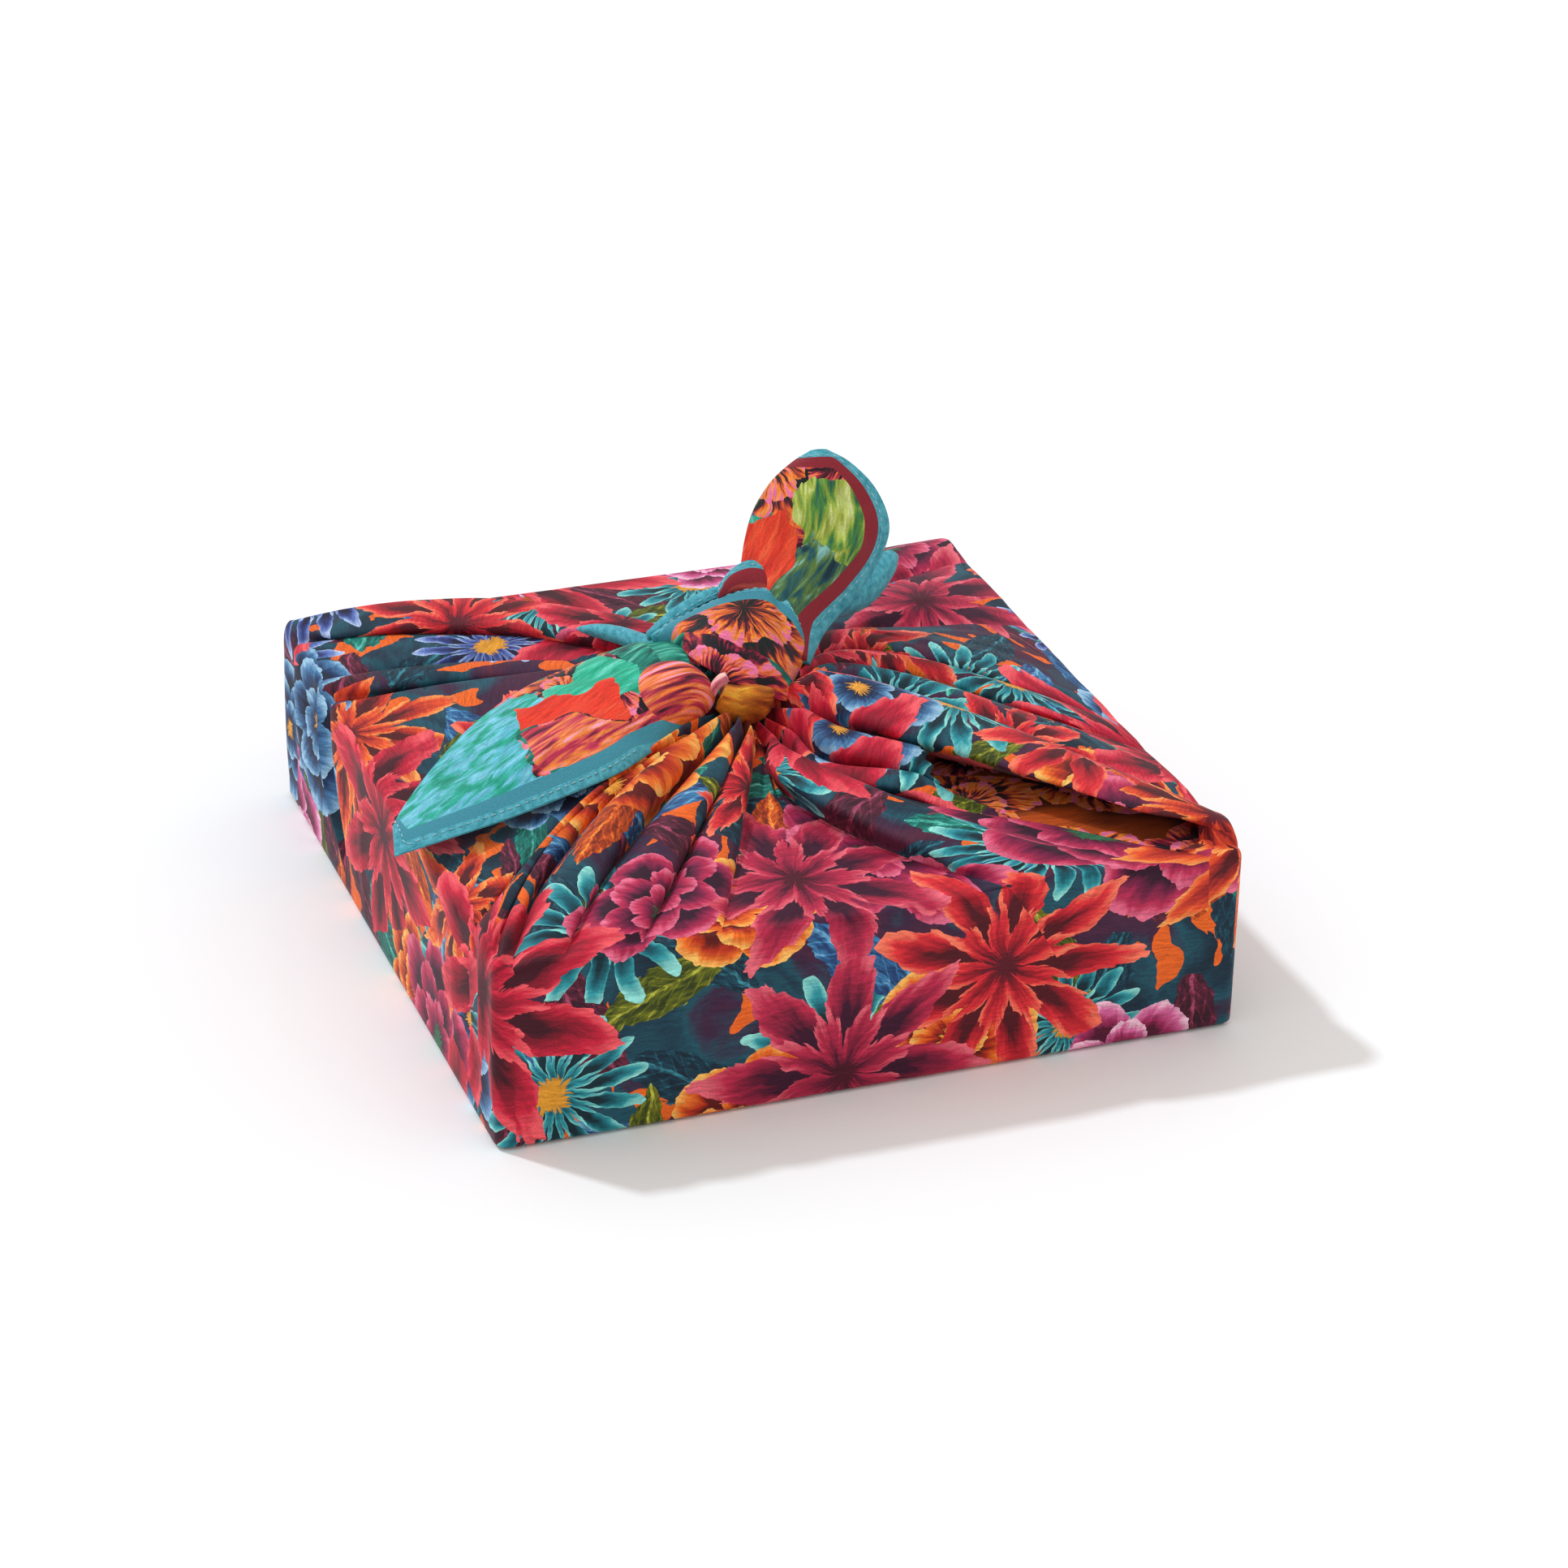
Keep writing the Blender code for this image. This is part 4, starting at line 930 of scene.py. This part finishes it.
def leaf_layer(node, place, row):
    """A layer of pointed leaves, each turned its own way, with a middle vein: its cover and its colour."""
    apart, pick, spin, kept = middles(node, place, row, 1.0)
    turn = node("Math MULTIPLY", (spin, 2 * math.pi))
    turned = node("VectorRotate", {"Vector": apart, "Angle": turn}, rotation_type="Z_AXIS")
    x, y, _ = node("SeparateXYZ", (turned,), out=None).outputs
    along = node("Math MULTIPLY", (x, 1 / row.long))
    side = node("Math ABSOLUTE", (node("Math MULTIPLY", (y, 1 / row.wide)),))
    strokes = node("VectorMath MULTIPLY", (turned, (7.0, 26.0, 1.0)))
    stroke = node("TexNoise", {"Vector": strokes, "Scale": 1.0, "Detail": 2.5, "Distortion": 0.8})
    taper = node("Math MULTIPLY_ADD", (node("Math POWER", (along, 2.0)), -1.0, 1.0))
    depth = node("Math SUBTRACT", (node("Math SUBTRACT", (taper, side)), 0.25))
    depth = node("Math MULTIPLY_ADD", (stroke, 0.5, depth))
    vein = node("Math MULTIPLY_ADD", (along, 5.0, node("Math MULTIPLY", (side, 2.2))))
    vein = node("Math LESS_THAN", (node("Math FRACT", (vein,)), 0.16))
    tone = node("Math MULTIPLY_ADD", (stroke, 1.5, -0.35))
    tone = node("Math MULTIPLY_ADD", (vein, 0.2, tone))
    tone = node("Math MULTIPLY_ADD", (node("Math LESS_THAN", (side, 0.07)), 0.35, tone))
    cover = node("Math GREATER_THAN", (depth, 0.0))
    kept = node("Math LESS_THAN", (kept, row.share))
    return node("Math MULTIPLY", (cover, kept)), two_sets(node, tone, pick, row)


def new_material(name, settings):
    """A new material with the given settings of its surface, and the function that adds a node to it."""
    made = bpy.data.materials.new(name)
    made.use_nodes = True
    for setting, value in settings.items():
        made.node_tree.nodes["Principled BSDF"].inputs[setting].default_value = value
    return made, partial(add, made.node_tree)


def coated(made, colour, bump):
    """The material with its colour and its bump joined to its surface."""
    surface = made.node_tree.nodes["Principled BSDF"].inputs
    made.node_tree.links.new(colour, surface["Base Color"])
    made.node_tree.links.new(bump, surface["Normal"])
    return made


def cotton_sateen():
    """Cotton sateen, woven smooth and dyed through with a painted flower print, with a turned teal hem.

    The long floats of the weave give a soft sheen; threads are 0.2 mm apart, drawn at 0.7 mm to show.
    """
    made, node = new_material("printed cotton sateen", {
        "Roughness": 0.6, "Specular IOR Level": 0.2, "Sheen Weight": 0.05, "Sheen Roughness": 0.4})
    place = node("UVMap", uv_map="flat cloth")
    wobble = node("TexNoise", {"Vector": place, "Scale": 60.0, "Detail": 3.0, "Roughness": 0.6}, out=1)
    rough = node("VectorMath MULTIPLY_ADD", (wobble, (0.007, 0.007, 0), place))
    bend = node("TexNoise", {"Vector": place, "Scale": 32.0, "Detail": 1.0}, out=1)
    bent = node("VectorMath MULTIPLY_ADD", (bend, (0.08, 0.08, 0), place))
    bent = node("VectorMath SUBTRACT", (bent, (0.04, 0.04, 0)))
    flat_y = node("SeparateXYZ", (place,), out="Y")
    corner = node("Math GREATER_THAN", (flat_y, CORNER_FROM * MM))
    # dark painted ground, with orange showing through, and the painted layers over it
    tone = node("TexNoise", {"Vector": rough, "Scale": 22.0, "Detail": 4.0, "Distortion": 1.2})
    colour = node("ValToRGB", (tone,), stops=GROUND)
    glow = node("VectorMath MULTIPLY", (rough, (1.0, 0.55, 1.0)))
    glow = node("TexNoise", {"Vector": glow, "Scale": 60.0, "Detail": 1.0, "Distortion": 0.8})
    layers = [(node("Math GREATER_THAN", (glow, 0.60)), linear("#E8641E"))]
    layers += [leaf_layer(node, rough, row) for row in LEAVES]
    layers += [flower_layer(node, rough, corner, row) for row in FLOWERS if not row.corner]
    layers += [patch_layer(node, place, bent, row) for row in UNDER]
    layers += [flower_layer(node, rough, corner, row) for row in FLOWERS if row.corner]
    layers += [patch_layer(node, place, bent, row) for row in OVER_FLOWERS]
    for cover, painted in layers:
        colour = node("Mix", {0: cover, 6: colour, 7: painted}, **OVER)
    # fine pen strokes over everything
    pen = node("Mapping", {0: rough, 2: (0, 0, 0.7), 3: (140, 1100, 1)})
    pen = node("TexNoise", {"Vector": pen, "Scale": 1.0, "Detail": 2.0, "Distortion": 0.6})
    pen = node("MapRange", {0: pen, 1: 0.3, 2: 0.7, 3: 0.74, 4: 1.22})
    colour = node("VectorMath SCALE", {0: colour, 3: pen})
    # a plain border, dark red on two sides of the square and painted near-black navy as painted shade on the
    # inside of the knot's band, and the turned teal hem outside it
    hem = node("Attribute", attribute_name="hem distance", attribute_type="GEOMETRY", out=2)
    border = linear("#8A2430")
    for start, plain in ((TEAL_FROM, "#3C8A9C"), (PAINTED_SHADE_FROM, "#121E2C")):
        beyond = node("Math GREATER_THAN", (flat_y, start * MM))
        border = node("Mix", {0: beyond, 6: border, 7: linear(plain)}, **OVER)
    mottle = node("TexNoise", {"Vector": place, "Scale": 420.0, "Detail": 3.0})
    teal = node("ValToRGB", (mottle,), stops=[(0.3, "#2F8798"), (0.7, "#5CB4C4")])
    for wide, plain in ((BORDER_WIDE, border), (HEM_WIDE, teal)):
        within = node("Math LESS_THAN", (hem, wide * MM))
        colour = node("Mix", {0: within, 6: colour, 7: plain}, **OVER)
    # weave
    grain = node("TexNoise", {"Vector": place, "Scale": 1400.0, "Detail": 1.0})
    worn = node("MapRange", {0: grain, 1: 0.3, 2: 0.7, 3: 0.88, 4: 1.1})
    colour = node("VectorMath SCALE", {0: colour, 3: worn})
    return coated(made, colour, node("Bump", {"Strength": 0.25, "Distance": 0.0002, "Height": grain}))


def polyester_thread():
    """Spun polyester sewing thread, twisted from two strands, with a dull sheen."""
    made, node = new_material("polyester thread", {"Roughness": 0.5, "Sheen Weight": 0.2})
    place = node("TexCoord", out="Object")
    twist = node("TexNoise", {"Vector": place, "Scale": 2600.0, "Detail": 1.0})
    colour = node("ValToRGB", (twist,), stops=[(0.35, "#5AA6B6"), (0.65, "#A8D6DE")])
    return coated(made, colour, node("Bump", {"Strength": 0.3, "Distance": 0.0001, "Height": twist}))


def pale_floor():
    """Seamless white paper, a little below the cloth's underside."""
    mesh = bpy.data.meshes.new("floor")
    mesh.from_pydata([(x, y, FLOOR_Z) for x, y in ((-8, -8), (8, -8), (8, 8), (-8, 8))], [], [(0, 1, 2, 3)])
    paper, _ = new_material("white paper", {
        "Base Color": (0.93, 0.93, 0.93, 1), "Roughness": 0.9, "Specular IOR Level": 0.0})
    mesh.materials.append(paper)
    placed("floor", mesh)


def studio_light():
    """Pale light from all round and one key light from behind on the left."""
    scene = bpy.context.scene
    scene.view_settings.view_transform = "Standard"
    scene.world = bpy.data.worlds.new("studio")
    scene.world.use_nodes = True
    around = scene.world.node_tree.nodes["Background"].inputs
    around["Color"].default_value = (1.0, 0.975, 0.95, 1)
    around["Strength"].default_value = 0.84
    key = bpy.data.lights.new("key", "SUN")
    key.energy = 1.45
    key.angle = math.radians(4)
    key.color = (0.84, 0.92, 1.0)
    placed("key", key).rotation_euler = Vector(KEY_FROM).to_track_quat("Z", "Y").to_euler()


def camera():
    """Camera at the photograph's angle."""
    data = bpy.data.cameras.new("camera")
    data.sensor_width = 36
    data.lens = 104.5
    turned = Matrix.Rotation(math.radians(CAMERA_TURN), 4, "Z")
    turned @= Matrix.Rotation(math.radians(90 - CAMERA_RISE), 4, "X")
    turned @= Matrix.Rotation(math.radians(CAMERA_ROLL), 4, "Z")
    made = placed("camera", data)
    made.matrix_world = Matrix.Translation(CAMERA_AIM) @ turned @ Matrix.Translation((0, 0, CAMERA_BACK))
    bpy.context.scene.camera = made


def main():
    """The whole scene."""
    camera()
    studio_light()
    pale_floor()
    sheet = Sheet()
    body_cloth(sheet)
    hidden_layers(sheet)
    for end in ENDS:
        end_cloth(sheet, end)
    cloth = finished(cloth_object(sheet), CLOTH_THICK)
    cloth.data.materials.append(cotton_sateen())
    stitches = hem_stitches()
    for piece in (cloth, stitches):
        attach(piece, "root")
    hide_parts("cloth")


main()
